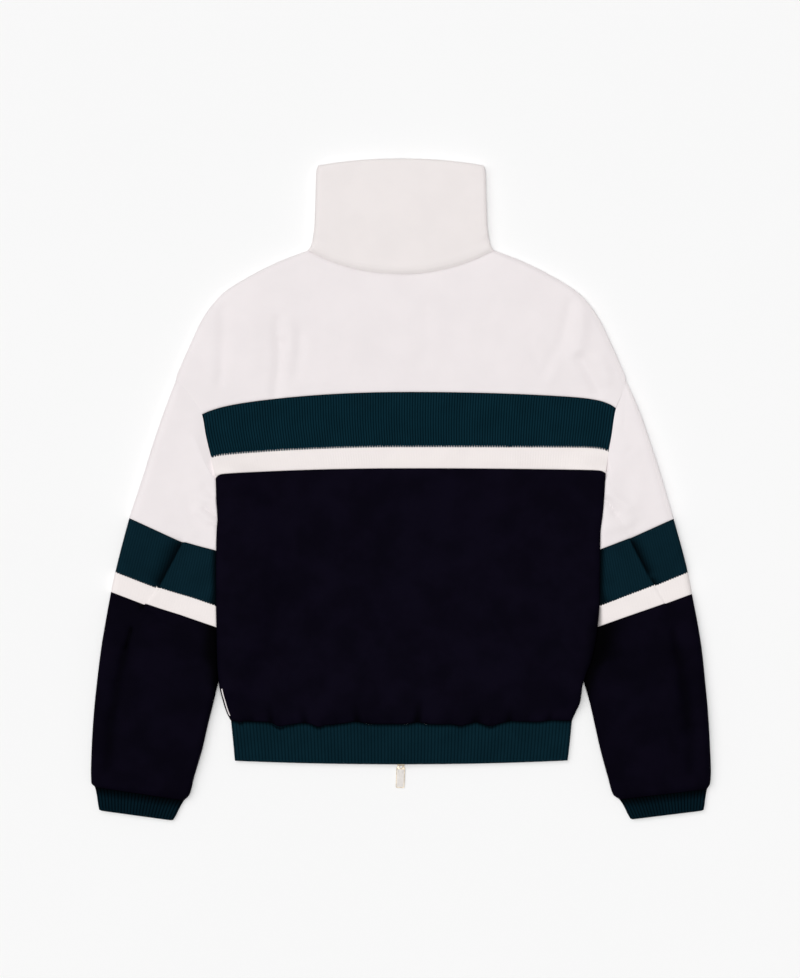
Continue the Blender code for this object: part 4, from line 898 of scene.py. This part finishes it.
def hem(name):
    """The rib-knit hem: folded double at its foot, ribbed on both faces, pinched where the body is gathered."""
    at = stations(0, HEM_KNOTS[-1], TUBE_ROWS, ends=TUBE_ENDS)[:, None]
    ribs = round(HEM_WIDTH / HEM_RIB_PITCH)
    half_ribs = ribs // 2
    over, under = np.linspace(-1, 1, ribs * RIB_POINTS + 1), np.linspace(0, 1, half_ribs * UNDER_RIB_POINTS + 1)[:-1]
    run = open_run(over, under)
    crest = rib_shape(np.concatenate([under * half_ribs, (over + 1) / 2 * ribs, under[::-1] * half_ribs]))[None, :]
    x, y, to_side = hem_plan(at, run)
    y = np.where(run[0] > 0, y - seam_scallop(x) * dying(np.maximum(HEM_SEAM_Y - y, 0), SAG_FADE[1]), y)
    down, up = down_rows(x, y)
    middle = HEM_WALL + SLIT / 2
    share = quarter_round(to_side, 1.3 * middle) * (0.5 + 0.5 * quarter_round(up, 1.7))
    pulled = 0.4 * gather_depth(x, 0 * x + BODY["mid_y"][-1]) * dying(down, 9)
    height = middle + hem_bump(at, x, run[0]) + RIB_HEIGHT * (crest - RIB_LEVEL) - seam_dip(down, 0.9) - pulled
    high = middle + (height + 0.25 * noise(x, y, 26.0, 71)) * share
    low = middle + (zip_edge(x, 1.4, 2.2) + RIB_HEIGHT * (1 - crest) + seam_dip(down, 0.8) - middle) * share
    outer = grid(x, y, np.where(run[0] > 0, high, np.minimum(low, middle - SLIT)), x, -down, crest, down)

    at = stations(0, HEM_KNOTS[-1], INSIDE, ends=(3.0,))[:, None]
    over = np.concatenate([np.linspace(-1, -0.1, 20), np.linspace(-0.08, 0.08, 9), np.linspace(0.1, 1, 20)])
    run = open_run(over, np.linspace(0, 1, 12)[:-1])
    x, y, z = band_inside(at, run, hem_plan, HEM_WALL, middle)
    return wall(name, outer, grid(x, y, z + hem_bump(at, x, run[0]), x, y))


# ---------------------------------------------------------------- label, zip and pull

def side_label(name, panel):
    """A bare ribbon caught in the side seam: lines between the back's own columns of points, moved outwards."""
    y = panel[:, 3, 1]
    rows = np.flatnonzero((y < LABEL_Y[0]) & (y > LABEL_Y[1]))
    whole, part = np.floor(LABEL_COLUMNS).astype(int), np.array(LABEL_COLUMNS)[:, None] % 1
    strip = panel[rows][:, whole, :3] * (1 - part) + panel[rows][:, whole + 1, :3] * part
    away = np.array(LABEL_OUTWARDS)
    lift = LABEL_GAP + 0.15 * np.sin(np.linspace(0, 3 * math.pi, len(rows)))[:, None, None]
    v = np.linspace(0, LABEL_Y[0] - LABEL_Y[1], len(rows))[:, None]
    u = np.arange(len(LABEL_COLUMNS))[None, :] * 1.3
    outer, inner = strip + away * (lift + LABEL_THICKNESS), strip + away * lift
    return wall(name, grid(*np.moveaxis(outer, -1, 0), u, v), grid(*np.moveaxis(inner, -1, 0), u, v))


def rounded_box(half_x, low_y, high_y, corner, steps=6):
    """A rectangle with rounded corners, as a loop of points that turns to the left."""
    turn = np.linspace(0, math.pi / 2, steps)
    arc = np.stack([np.cos(turn), np.sin(turn)], 1) * corner
    inner_x, bottom, top = half_x - corner, low_y + corner, high_y - corner
    quarters = (
        (inner_x, top, arc),
        (-inner_x, top, np.stack([-arc[:, 1], arc[:, 0]], 1)),
        (-inner_x, bottom, -arc),
        (inner_x, bottom, np.stack([arc[:, 1], -arc[:, 0]], 1)),
    )
    return np.concatenate([quarter + (x, y) for x, y, quarter in quarters])


def outwards(loop):
    """Unit normals of a loop that turns to the left."""
    along = np.roll(loop, -1, 0) - np.roll(loop, 1, 0)
    along = along / np.linalg.norm(along, axis=1)[:, None]
    return np.stack([along[:, 1], -along[:, 0]], 1)


def blocks(loop, levels, places=((0, 0, 0),)):
    """Closed blocks at these places: the loop carried up through levels of (inset, height), with fans for ends."""
    count, normals, middle = len(loop), outwards(loop), loop.mean(0)
    rings = [np.column_stack([loop - normals * inset, np.full(count, z)]) for inset, z in levels]
    one = np.concatenate([*rings, [[*middle, levels[0][1]], [*middle, levels[-1][1]]]])
    index = np.arange(count * len(levels)).reshape(len(levels), count)
    after = np.roll(index, -1, 1)
    foot = np.stack([after[0], index[0], np.full(count, len(one) - 2)], 1)
    head = np.stack([index[-1], after[-1], np.full(count, len(one) - 1)], 1)
    shift = np.arange(len(places))[:, None, None] * len(one)
    points = (one[None] + np.asarray(places, float)[:, None]).reshape(-1, 3)
    faces = (faces[None] + shift for faces in (ring_quads(index), np.concatenate([foot, head])))
    return points, *(each.reshape(-1, each.shape[-1]) for each in faces)


def joined(*sets):
    """Several (points, quads, triangles) as one."""
    starts = np.cumsum([0] + [len(one[0]) for one in sets[:-1]])
    faces = (np.concatenate([one[i] + start for one, start in zip(sets, starts)]) for i in (1, 2))
    return np.concatenate([one[0] for one in sets]), *faces


def zip_height(y):
    """Middle of the chain: level under the body, then up to the slider in the hem."""
    return np.interp(-y, (-HEM["mid_y"][0], -HEM["mid_y"][1]), (CHAIN_MIDDLE, CHAIN_AT_SLIDER))


def zip_tape(name):
    """Two woven tapes, each a flat strip with a thicker cord along the edge that holds the teeth."""
    seam_y = HEM["mid_y"][0]
    y = np.concatenate([np.linspace(ZIP_TOP, seam_y, 120), np.linspace(seam_y, ZIP_FOOT, 24)[1:]])
    profile = np.concatenate([TAPE_PROFILE, TAPE_PROFILE[:0:-1] * (1, -1)])
    index = np.arange(len(y) * len(profile)).reshape(len(y), len(profile))
    ends = [np.stack([np.full(len(profile) - 2, run[0]), run[1:-1], run[2:]], 1) for run in (index[0], index[-1])]
    halves = []
    for side in (-1, 1):
        point = np.broadcast_arrays(side * profile[:, 0], y[:, None], zip_height(y)[:, None] + profile[:, 1])
        halves.append((np.stack(point, -1).reshape(-1, 3), ring_quads(index), np.concatenate(ends)))
    points, quads, triangles = joined(*halves)
    return mesh_from(name, points, quads, triangles, points[:, :2], angle=50)


def zip_teeth(name):
    """Moulded teeth in two rows that mesh along the middle, all one shape."""
    tooth = rounded_box(1.55, -0.62, 0.62, 0.4, steps=3)
    y = np.arange(ZIP_TOP - 1, ZIP_FOOT, -TOOTH_PITCH / 2)
    side = np.where(np.arange(len(y)) % 2, -1, 1)
    places = np.stack([side * 0.85, y, zip_height(y)], 1)
    levels = ((0.2, -0.95), (0.0, -0.7), (0.0, 0.7), (0.2, 0.95))
    return mesh_from(name, *blocks(tooth, levels, places), angle=30)


def slider(name):
    """Two plates with rounded edges, the post between them, the bridge that holds the pull, and side flanges."""
    low, high = HEM_FOOT_Y - SLIDER_BELOW, HEM_FOOT_Y + SLIDER_ABOVE
    bridge_low, bridge_high = PIN_Y - 1.95, high - 1.4
    pier = ((0, 0.2), (0, 2.3))
    parts = (                 # half width, foot, head and corner of the outline, then inset and height by level
        ((5.3, low, high, 2.2), ((0.35, 1.95), (0.0, 2.15), (0.0, 2.4), (0.3, 2.6))),
        ((4.8, low + 0.5, high - 0.5, 2.0), ((0.3, 4.85), (0.0, 5.0), (0.0, 5.4), (0.35, 5.6))),
        ((1.6, high - 6.4, high - 1.4, 0.7), ((0, 2.3), (0, 5.2))),
        ((1.2, bridge_low, bridge_low + 1.2, 0.3), pier),
        ((1.2, bridge_high - 1.2, bridge_high, 0.3), pier),
        ((1.2, bridge_low, bridge_high, 0.5), ((0.25, 0.1), (0.0, 0.25), (0.0, 0.45))),
    )
    flange = rounded_box(0.45, low + 2.0, high - 4.0, 0.3)
    flanges = blocks(flange, ((0, 2.3), (0, 3.1)), [(-4.8, 0, 0), (4.8, 0, 0)])
    return mesh_from(name, *joined(*(blocks(rounded_box(*box), levels) for box, levels in parts), flanges), angle=30)


def hung(points):
    """From the pull's own place, with the pin along X through its start, to where it hangs."""
    turn_cos, turn_sin = math.cos(PULL_TURN), math.sin(PULL_TURN)
    x = points[:, 0] * turn_cos - points[:, 1] * turn_sin
    y = points[:, 0] * turn_sin + points[:, 1] * turn_cos
    return np.stack([x, y + PIN_Y, points[:, 2] + PIN_HEIGHT], 1)


def at_angles(loop, centre, angles):
    """Points of a loop at these angles about a centre."""
    from_centre = loop - centre
    around = np.arctan2(from_centre[:, 1], from_centre[:, 0])
    order = np.argsort(around)
    return np.stack([np.interp(angles, around[order], loop[order, i], period=2 * math.pi) for i in (0, 1)], 1)


def pull_frame(name):
    """The pull's metal body: a ring of rounded section between its outline and its window, thinner at the pin."""
    shoulders = np.array([(3.5, -1.2), (3.6, -2.2), (5.3, -4.2), (PULL_HALF, -5.2)])
    bottom = rounded_box(PULL_HALF, -PULL_LENGTH, -10.0, 1.8, steps=8)
    bottom = bottom[bottom[:, 1] < -20]
    corners = rounded_box(3.5, -2.0, 0.6, 1.0, steps=6)
    corners = corners[corners[:, 1] > -1.1]
    right_corner, left_corner = corners[corners[:, 0] > 0], corners[corners[:, 0] < 0]
    top = np.concatenate([right_corner, [(PIN_HALF, 0.6), (-PIN_HALF, 0.6)], left_corner])
    left_edge = np.array([(-PULL_HALF, -12), (-PULL_HALF, -22)])
    right_edge = left_edge[::-1] * (-1, 1)
    outline = np.concatenate([shoulders[::-1], top, shoulders * (-1, 1), left_edge, bottom, right_edge])
    centre = np.array((0.0, -2.9))
    from_centre = outline - centre
    angles = np.arctan2(from_centre[:, 1], from_centre[:, 0])
    window = at_angles(rounded_box(1.9, -5.4, -0.5, 0.5, steps=5), centre, angles)
    half = PULL_THICKNESS / 2
    outer = [(outline, -outwards(outline), inset, z) for inset, z in
             ((0.3, -half), (0, 0.3 - half), (0, half - 0.3), (0.3, half))]
    inner = [(window, outwards(window), inset, z) for inset, z in
             ((0.2, half), (0, half - 0.2), (0, 0.2 - half), (0.2, -half))]
    rings = [np.column_stack([loop + inwards * inset, np.full(len(loop), z)])
             for loop, inwards, inset, z in outer + inner]
    points = np.concatenate(rings)
    pin = np.tile((np.abs(outline[:, 0]) < PIN_HALF + 0.05) & (outline[:, 1] > 0), len(rings))
    points[pin, 1:] = (points[pin, 1:] - (0.05, 0)) * PIN_SHARE
    index = np.arange(len(points)).reshape(len(rings), -1)
    quads = ring_quads(np.vstack([index, index[:1]]))
    return mesh_from(name, hung(points), quads, np.zeros((0, 3), int), angle=30)


def pull_enamel(name):
    """Satin fill on both faces of the pull, a little domed."""
    face = rounded_box(4.7, 1.0 - PULL_LENGTH, -7.2, 1.2)
    half = PULL_THICKNESS / 2
    dome = ((0, half - 0.1), (0, half + 0.08), (0.3, half + 0.18), (1.4, half + 0.24))
    points, quads, triangles = joined(blocks(face, dome), blocks(face, [(inset, -z) for inset, z in dome[::-1]]))
    return mesh_from(name, hung(points), quads, triangles, angle=35)


# ---------------------------------------------------------------- finishes

def connect(tree, made, inputs):
    for key, value in inputs.items():
        if isinstance(value, bpy.types.NodeSocket):
            tree.links.new(value, made.inputs[key])
        else:
            made.inputs[key].default_value = value
    return made


def node(tree, kind, inputs=None, **settings):
    made = tree.nodes.new(kind)
    for key, value in settings.items():
        setattr(made, key, value)
    return connect(tree, made, inputs or {})


def maths(tree, operation, *values):
    return node(tree, "ShaderNodeMath", dict(enumerate(values)), operation=operation).outputs[0]


def between(tree, value, low, high, to_low, to_high):
    """A value carried from one range to another, held at its ends."""
    inputs = {"Value": value, "From Min": low, "From Max": high, "To Min": to_low, "To Max": to_high}
    return node(tree, "ShaderNodeMapRange", inputs, interpolation_type="SMOOTHSTEP").outputs["Result"]


def speckle(tree, place, scale, detail=2.0):
    """Soft noise from 0 to 1, finer as the scale goes up."""
    return node(tree, "ShaderNodeTexNoise", {"Vector": place, "Scale": scale, "Detail": detail}).outputs[0]


def object_place(tree):
    return node(tree, "ShaderNodeTexCoord").outputs["Object"]


def group(name, takes, gives):
    """An empty node group that takes these values, or a place where the value is None."""
    tree = bpy.data.node_groups.new(name, "ShaderNodeTree")
    for socket, value in takes.items():
        kind = "NodeSocketVector" if value is None else "NodeSocketFloat"
        made = tree.interface.new_socket(socket, in_out="INPUT", socket_type=kind)
        if value is not None:
            made.default_value = value
    for socket in gives:
        tree.interface.new_socket(socket, in_out="OUTPUT", socket_type="NodeSocketFloat")
    return tree, tree.nodes.new("NodeGroupInput").outputs, tree.nodes.new("NodeGroupOutput")


def dyed(tree, given, scale, detail):
    """Slow unevenness of the dye: the levels it lies between, and the shade itself."""
    low, high = (maths(tree, operation, 1.0, given["Unevenness"]) for operation in ("SUBTRACT", "ADD"))
    return low, high, between(tree, speckle(tree, given["Place"], scale, detail), 0.3, 0.7, low, high)


def woven_cloth():
    """Plain weave: threads over and under in turn, with slubs. Shade is slow unevenness of the dye and nap."""
    takes = {"Place": None, "Threads a metre": 2200.0, "Unevenness": 0.04}
    tree, given, out = group("woven_cloth", takes, ("Height", "Shade"))
    parts = node(tree, "ShaderNodeSeparateXYZ", {0: given["Place"]}).outputs
    turns = maths(tree, "MULTIPLY", given["Threads a metre"], math.pi)
    warp, weft = (maths(tree, "SINE", maths(tree, "MULTIPLY", parts[axis], turns)) for axis in "XY")
    weave = maths(tree, "MULTIPLY_ADD", maths(tree, "MULTIPLY", warp, weft), 0.5, 0.5)
    slubs = speckle(tree, given["Place"], 900.0)
    _, _, shade = dyed(tree, given, 26.0, 3.0)
    height = maths(tree, "MULTIPLY_ADD", slubs, 0.6, maths(tree, "MULTIPLY", weave, 0.4))
    connect(tree, out, {"Height": height, "Shade": shade})
    return tree


def rib_knit():
    """Columns of V stitches: a sine along the length whose phase leans both ways across each column.

    Shade is painted: dark in the valleys between ribs and lighter on their crests.
    """
    takes = {"Place": None, "Rib": 1.0, "Column": 0.0017, "Stitch": 0.0012, "Valley": 0.5, "Unevenness": 0.07}
    tree, given, out = group("rib_knit", takes, ("Height", "Shade"))
    parts = node(tree, "ShaderNodeSeparateXYZ", {0: given["Place"]}).outputs
    lean = maths(tree, "PINGPONG", maths(tree, "DIVIDE", parts["X"], given["Column"]), 0.5)
    phase = maths(tree, "ADD", maths(tree, "DIVIDE", parts["Y"], given["Stitch"]), lean)
    stitch = maths(tree, "MULTIPLY_ADD", maths(tree, "SINE", maths(tree, "MULTIPLY", phase, 2 * math.pi)), 0.5, 0.5)
    fuzz = speckle(tree, given["Place"], 1400.0)
    low, high, slow = dyed(tree, given, 30.0, 2.0)
    # painted shade: the colour is darkened in the rib's valleys
    crest = maths(tree, "MULTIPLY", between(tree, given["Rib"], 0.15, 0.9, given["Valley"], 1.0), slow)
    height = maths(tree, "MULTIPLY_ADD", stitch, 0.7, maths(tree, "MULTIPLY", fuzz, 0.3))
    shade = maths(tree, "MULTIPLY", crest, between(tree, stitch, 0.0, 1.0, low, high))
    connect(tree, out, {"Height": height, "Shade": shade})
    return tree


def seam_shade():
    """Painted shade, darker in the fold of a seam and fading away from it."""
    tree, given, out = group("seam_shade", {"Seam": FAR, "Depth": 0.3, "Width": 1.0}, ("Shade",))
    dark = between(tree, maths(tree, "DIVIDE", given["Seam"], given["Width"]), 0.0, 1.0, 1.0, 0.0)
    shade = maths(tree, "SUBTRACT", 1.0, maths(tree, "MULTIPLY", dark, given["Depth"]))
    connect(tree, out, {"Shade": shade})
    return tree


def surface(name, colour, roughness, metallic=0.0, **constants):
    """A material with its shader, ready for its own nodes."""
    made = bpy.data.materials.new(name)
    made.use_nodes = True
    made.diffuse_color = (*colour, 1)
    shader = made.node_tree.nodes["Principled BSDF"]
    values = {"Base Color": (*colour, 1), "Roughness": roughness, "Metallic": metallic}
    connect(made.node_tree, shader, {**values, **{key.replace("_", " "): value for key, value in constants.items()}})
    return made, made.node_tree, shader


def tinted(tree, colour, *shades):
    """The colour times every shade."""
    shade = shades[0]
    for other in shades[1:]:
        shade = maths(tree, "MULTIPLY", shade, other)
    inputs = {"Factor": 1.0, 6: (*colour, 1), 7: shade}
    return node(tree, "ShaderNodeMix", inputs, data_type="RGBA", blend_type="MULTIPLY").outputs[2]


def raised(tree, height, strength, distance):
    return node(tree, "ShaderNodeBump", {"Height": height, "Strength": strength, "Distance": distance}).outputs[0]


def attribute(tree, name):
    return node(tree, "ShaderNodeAttribute", attribute_name=name).outputs["Fac"]


def placed(tree, which, inputs):
    made = node(tree, "ShaderNodeGroup", node_tree=GROUPS[which])
    return connect(tree, made, inputs).outputs


def dress_shader(tree, shader, colour, cloth, roughness, relief, seam_shade_depth, seam_shade_width, overlap, *shades):
    """A cloth's own height and shade, with painted shade in its seams and under an overlap."""
    seam = placed(tree, "seam", {"Seam": attribute(tree, "seam"), "Depth": seam_shade_depth, "Width": seam_shade_width})
    # painted shade: the under attribute darkens the colour down to the overlap share
    painted_shade = between(tree, attribute(tree, "under"), 0.0, 1.0, 1.0, overlap)
    connect(tree, shader, {
        "Base Color": tinted(tree, colour, cloth["Shade"], seam["Shade"], painted_shade, *shades),
        "Roughness": between(tree, cloth["Height"], 0.0, 1.0, *roughness),
        "Normal": raised(tree, cloth["Height"], *relief),
    })


def shell_cloth(name, colour, roughness, unevenness, weave, seam_shade_depth, overlap=0.9, seam_shade_width=1.0, rim=0.0,
                **constants):
    """Smooth woven shell, with painted shade under an overlap and painted light where it turns down on the key's far
    side.
    """
    made, tree, shader = surface(name, colour, roughness, **constants)
    cloth = placed(tree, "woven", {"Place": object_place(tree), "Unevenness": unevenness})
    normal = node(tree, "ShaderNodeNewGeometry").outputs["Normal"]
    to_right = node(tree, "ShaderNodeSeparateXYZ", {0: normal}).outputs["X"]
    # painted light: slopes that face right are brightened in the colour, in place of light on the edges away from the
    # key
    painted_rim_factor = between(tree, to_right, 0.15, 0.75, 1.0, 1.0 + rim)
    dress_shader(tree, shader, colour, cloth, (roughness - 0.05, roughness + 0.05), (weave, 0.0002), seam_shade_depth,
                 seam_shade_width, overlap, painted_rim_factor)
    return made


def knitted_cloth(name, colour, roughness, painted_valley_shade, column, seam_shade_depth, relief, overlap=0.9, seam_shade_width=1.3,
                  unevenness=0.07, **constants):
    """Knit with painted shade in the rib's valleys, in columns of stitches along the piece's own flat cloth."""
    made, tree, shader = surface(name, colour, roughness, **constants)
    place = node(tree, "ShaderNodeUVMap", uv_map="cloth").outputs[0]
    cloth = placed(tree, "knit", {"Place": place, "Rib": attribute(tree, "rib"), "Column": column, "Valley": painted_valley_shade,
                                  "Unevenness": unevenness})
    dress_shader(tree, shader, colour, cloth, (roughness + 0.05, roughness - 0.05), (relief, 0.0004), seam_shade_depth,
                 seam_shade_width, overlap)
    return made


def worn_metal(name, colour, roughness):
    """Plated metal: fine brushing and a few duller patches."""
    made, tree, shader = surface(name, colour, roughness, 1.0)
    place = object_place(tree)
    patches = speckle(tree, place, 420.0, 4.0)
    connect(tree, shader, {
        "Base Color": tinted(tree, colour, between(tree, patches, 0.35, 0.7, 1.0, 0.82)),
        "Roughness": between(tree, patches, 0.3, 0.7, roughness - 0.06, roughness + 0.14),
        "Normal": raised(tree, speckle(tree, place, 5200.0), 0.15, 0.00005),
    })
    return made


def enamel(name, colour):
    """Satin fill with slight ripple, a little duller in places."""
    made, tree, shader = surface(name, colour, 0.55, Coat_Weight=0.12, Coat_Roughness=0.5)
    ripple = speckle(tree, object_place(tree), 260.0)
    connect(tree, shader, {
        "Base Color": tinted(tree, colour, between(tree, ripple, 0.3, 0.7, 0.95, 1.03)),
        "Roughness": between(tree, ripple, 0.3, 0.7, 0.5, 0.62),
        "Normal": raised(tree, ripple, 0.1, 0.0002),
    })
    return made


# ---------------------------------------------------------------- light, floor and camera

def studio():
    """A pale floor, a weak even surround, a broad lamp overhead and a softer low one from the upper left.

    The camera looks straight down.
    """
    floor_look, tree, shader = surface("studio_floor", FLOOR_COLOUR, 0.9, Specular_IOR_Level=0.1)
    shade = between(tree, speckle(tree, object_place(tree), 3.0), 0.3, 0.7, 0.998, 1.002)
    connect(tree, shader, {"Base Color": tinted(tree, FLOOR_COLOUR, shade)})
    mesh = bpy.data.meshes.new("studio_floor")
    corners = [(x * FLOOR_HALF, y * FLOOR_HALF, FLOOR_Z) for x, y in ((-1, -1), (1, -1), (1, 1), (-1, 1))]
    mesh.from_pydata(corners, [], [(0, 1, 2, 3)])
    mesh.materials.append(floor_look)
    floor = linked("studio_floor", mesh)

    world = bpy.data.worlds.new("studio")
    world.use_nodes = True
    tree = world.node_tree
    direction = node(tree, "ShaderNodeTexCoord").outputs["Generated"]
    up = node(tree, "ShaderNodeSeparateXYZ", {0: direction}).outputs["Z"]
    strength = between(tree, up, 0.0, 1.0, *SURROUND)
    connect(tree, tree.nodes["Background"], {"Color": SURROUND_COLOUR, "Strength": strength})
    bpy.context.scene.world = world
    bpy.context.scene.view_settings.view_transform = "Standard"

    for name, strength, spread, azimuth, height in LAMPS:
        lamp = bpy.data.lights.new(name, "SUN")
        lamp.energy = strength
        lamp.angle = math.radians(spread)
        linked(name, lamp).rotation_euler = (0, math.radians(90 - height), math.radians(azimuth))

    camera = bpy.data.cameras.new("photo_camera")
    camera.lens = 200.0
    camera.clip_end = 40.0
    made = linked("photo_camera", camera)
    made.location = (*FRAME_CENTRE, TOP_LEVEL + FRAME_HEIGHT * camera.lens / camera.sensor_width)
    bpy.context.scene.camera = made


# ---------------------------------------------------------------- main

def dress(piece, look, nodes, body_name="garment"):
    """Gives a piece its finish and its body, and hides the solids it stands for."""
    piece.data.materials.append(look)
    if nodes:
        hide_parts(*nodes)
    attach(piece, body_name)
    return piece


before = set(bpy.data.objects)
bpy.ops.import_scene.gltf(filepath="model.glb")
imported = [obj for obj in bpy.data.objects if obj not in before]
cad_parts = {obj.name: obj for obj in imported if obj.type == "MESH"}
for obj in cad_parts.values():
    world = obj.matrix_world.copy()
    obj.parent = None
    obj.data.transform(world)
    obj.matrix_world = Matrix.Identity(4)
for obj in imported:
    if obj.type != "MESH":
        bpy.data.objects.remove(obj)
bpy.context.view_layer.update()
studio()
GROUPS = {"woven": woven_cloth(), "knit": rib_knit(), "seam": seam_shade()}

# The white cloths' finish also carries the painted rim light.
satin_with_painted_rim = {"rim": PAINTED_RIM_LIGHT, "Specular_IOR_Level": 0.3, "Sheen_Weight": 0.08}
matt = {"Specular_IOR_Level": 0.01}
fluffy = {"unevenness": 0.012, "Specular_IOR_Level": 0.25}
# The white seam shade also paints the collar's shadow on the yoke along the neck.
white = shell_cloth("white_shell", WHITE, 0.6, 0.012, 0.25, 0.08, 0.95, 3.2, **satin_with_painted_rim)
collar_white = shell_cloth("collar_shell", COLLAR_WHITE, 0.6, 0.012, 0.25, 0.07, 0.95, 1.6, **satin_with_painted_rim)
navy = shell_cloth("navy_shell", NAVY, 0.7, 0.2, 0.25, 0.4, 0.3, **matt)
# The sleeves' navy is painted deeper in its shade than the back's.
sleeve_navy = shell_cloth("navy_sleeve_shell", SLEEVE_NAVY, 0.7, 0.2, 0.25, 0.4, 0.1, **matt)
green = knitted_cloth("green_rib_knit", GREEN, 0.85, 0.3, 0.0017, 0.4, 0.6, **matt)
# The hem's and the cuffs' wide seam shades paint the shadow that the overhanging navy casts on them.
hem_green = knitted_cloth("green_hem_knit", HEM_GREEN, 0.85, 0.55, 0.0021, 0.75, 0.6, 0.9, 5.0, **matt)
sleeve_green = knitted_cloth("green_sleeve_knit", SLEEVE_GREEN, 0.85, 0.7, 0.0017, 0.4, 0.6, 0.2, **matt)
cuff_green = knitted_cloth("green_cuff_knit", CUFF_GREEN, 0.85, 0.24, 0.0017, 0.85, 0.6, 0.9, 20.0, **matt)
cream = knitted_cloth("cream_rib_knit", CREAM, 0.75, 0.985, 0.0017, 0.05, 0.15, 0.95, **fluffy)
# A copy of the cream whose painted shade goes deeper, for the tuck shade under the body's right edge.
sleeve_cream = knitted_cloth("cream_sleeve_knit", CREAM, 0.75, 0.985, 0.0017, 0.05, 0.15, 0.3, **fluffy)
tape_cloth = knitted_cloth("zip_tape", CREAM, 0.8, 1.0, 0.0008, 0.0, 0.4, unevenness=0.03, Specular_IOR_Level=0.25)
gold = worn_metal("gold_metal", GOLD, 0.58)
cream_enamel = enamel("cream_enamel", ENAMEL)
teeth_look = enamel("zip_teeth", TEETH)

BODY_PANELS = (
    ("yoke", "neck", "band_top", SHELL_WALL, (1.3, 1.1), NO_RIBS, white, "white_shell"),
    ("band_green", "band_top", "green_cream", INSERT_WALL, (1.0, 0.35), (BODY_RIB_PITCH, RIB_HEIGHT, 0, 1),
     green, "green_rib_knit"),
    ("band_cream", "green_cream", "armpit", INSERT_WALL, (0.35, 1.1), (BODY_RIB_PITCH, CREAM_RIB_HEIGHT, 1, 0),
     cream, "cream_band"),
    ("lower", "armpit", "hem_seam", SHELL_WALL, (1.1, 1.9), NO_RIBS, navy, "navy_shell"),
)
for seed, (part, first, last, wall_mm, dips, rib, look, slot) in enumerate(BODY_PANELS):
    back, points = back_panel(f"jacket_back_{part}", first, last, wall_mm, dips, 10 * seed, rib)
    label = [dress(side_label("side_label", points), white, ["side_tab"])] if part == "lower" else []
    dress(back, look, [f"back_{part}"])
    for side in (-1, 1):
        front = front_panel(f"jacket_front_{part}_{hand(side)}", side, first, last, wall_mm, dips, 10 * seed + 50, rib)
        dress(front, look, [f"front_{part}_{hand(side)}"])

dress(collar("jacket_collar"), collar_white, ["collar"])
dress(hem("jacket_hem"), hem_green, ["hem_rib"])

SLEEVE_PIECES = (
    ("sleeve_upper", "armhole", "band_top", SHELL_WALL, (0, 1.1), NO_RIBS, white, "white_shell", False),
    ("sleeve_band_green", "band_top", "green_cream", INSERT_WALL, (1.0, 0.35),
     (BODY_RIB_PITCH, SLEEVE_RIB_HEIGHT, 0, 0.5), sleeve_green, "green_rib_knit", False),
    ("sleeve_band_cream", "green_cream", "cream_navy", INSERT_WALL, (0.35, 1.1),
     (BODY_RIB_PITCH, CREAM_RIB_HEIGHT, 0.5, 0), sleeve_cream, "cream_band", False),
    ("sleeve_lower", "cream_navy", "cuff_seam", SHELL_WALL, (1.1, 1.6), NO_RIBS, sleeve_navy, "navy_shell", False),
    ("cuff", "cuff_seam", "cuff_foot", HEM_WALL, (0.8, 0), (CUFF_RIB_PITCH, RIB_HEIGHT, 0, 0), cuff_green,
     "green_rib_knit", True),
)
for side in (-1, 1):
    for seed, (part, first, last, wall_mm, dips, rib, look, slot, foot) in enumerate(SLEEVE_PIECES):
        name = f"{part}_{hand(side)}"
        made = sleeve_piece(f"jacket_{name}", side, first, last, wall_mm, dips, 100 + 10 * seed + side, rib, foot)
        dress(made, look, [name])

dress(zip_tape("zip_tapes"), tape_cloth, ["zip_chain"])
dress(zip_teeth("zip_teeth"), teeth_look, ["zip_chain"])
dress(slider("zip_slider_body"), gold, ["zip_slider"])
dress(pull_frame("zip_pull_frame"), gold, ["zip_pull"], "pull")
dress(pull_enamel("zip_pull_enamel"), cream_enamel, [], "pull")
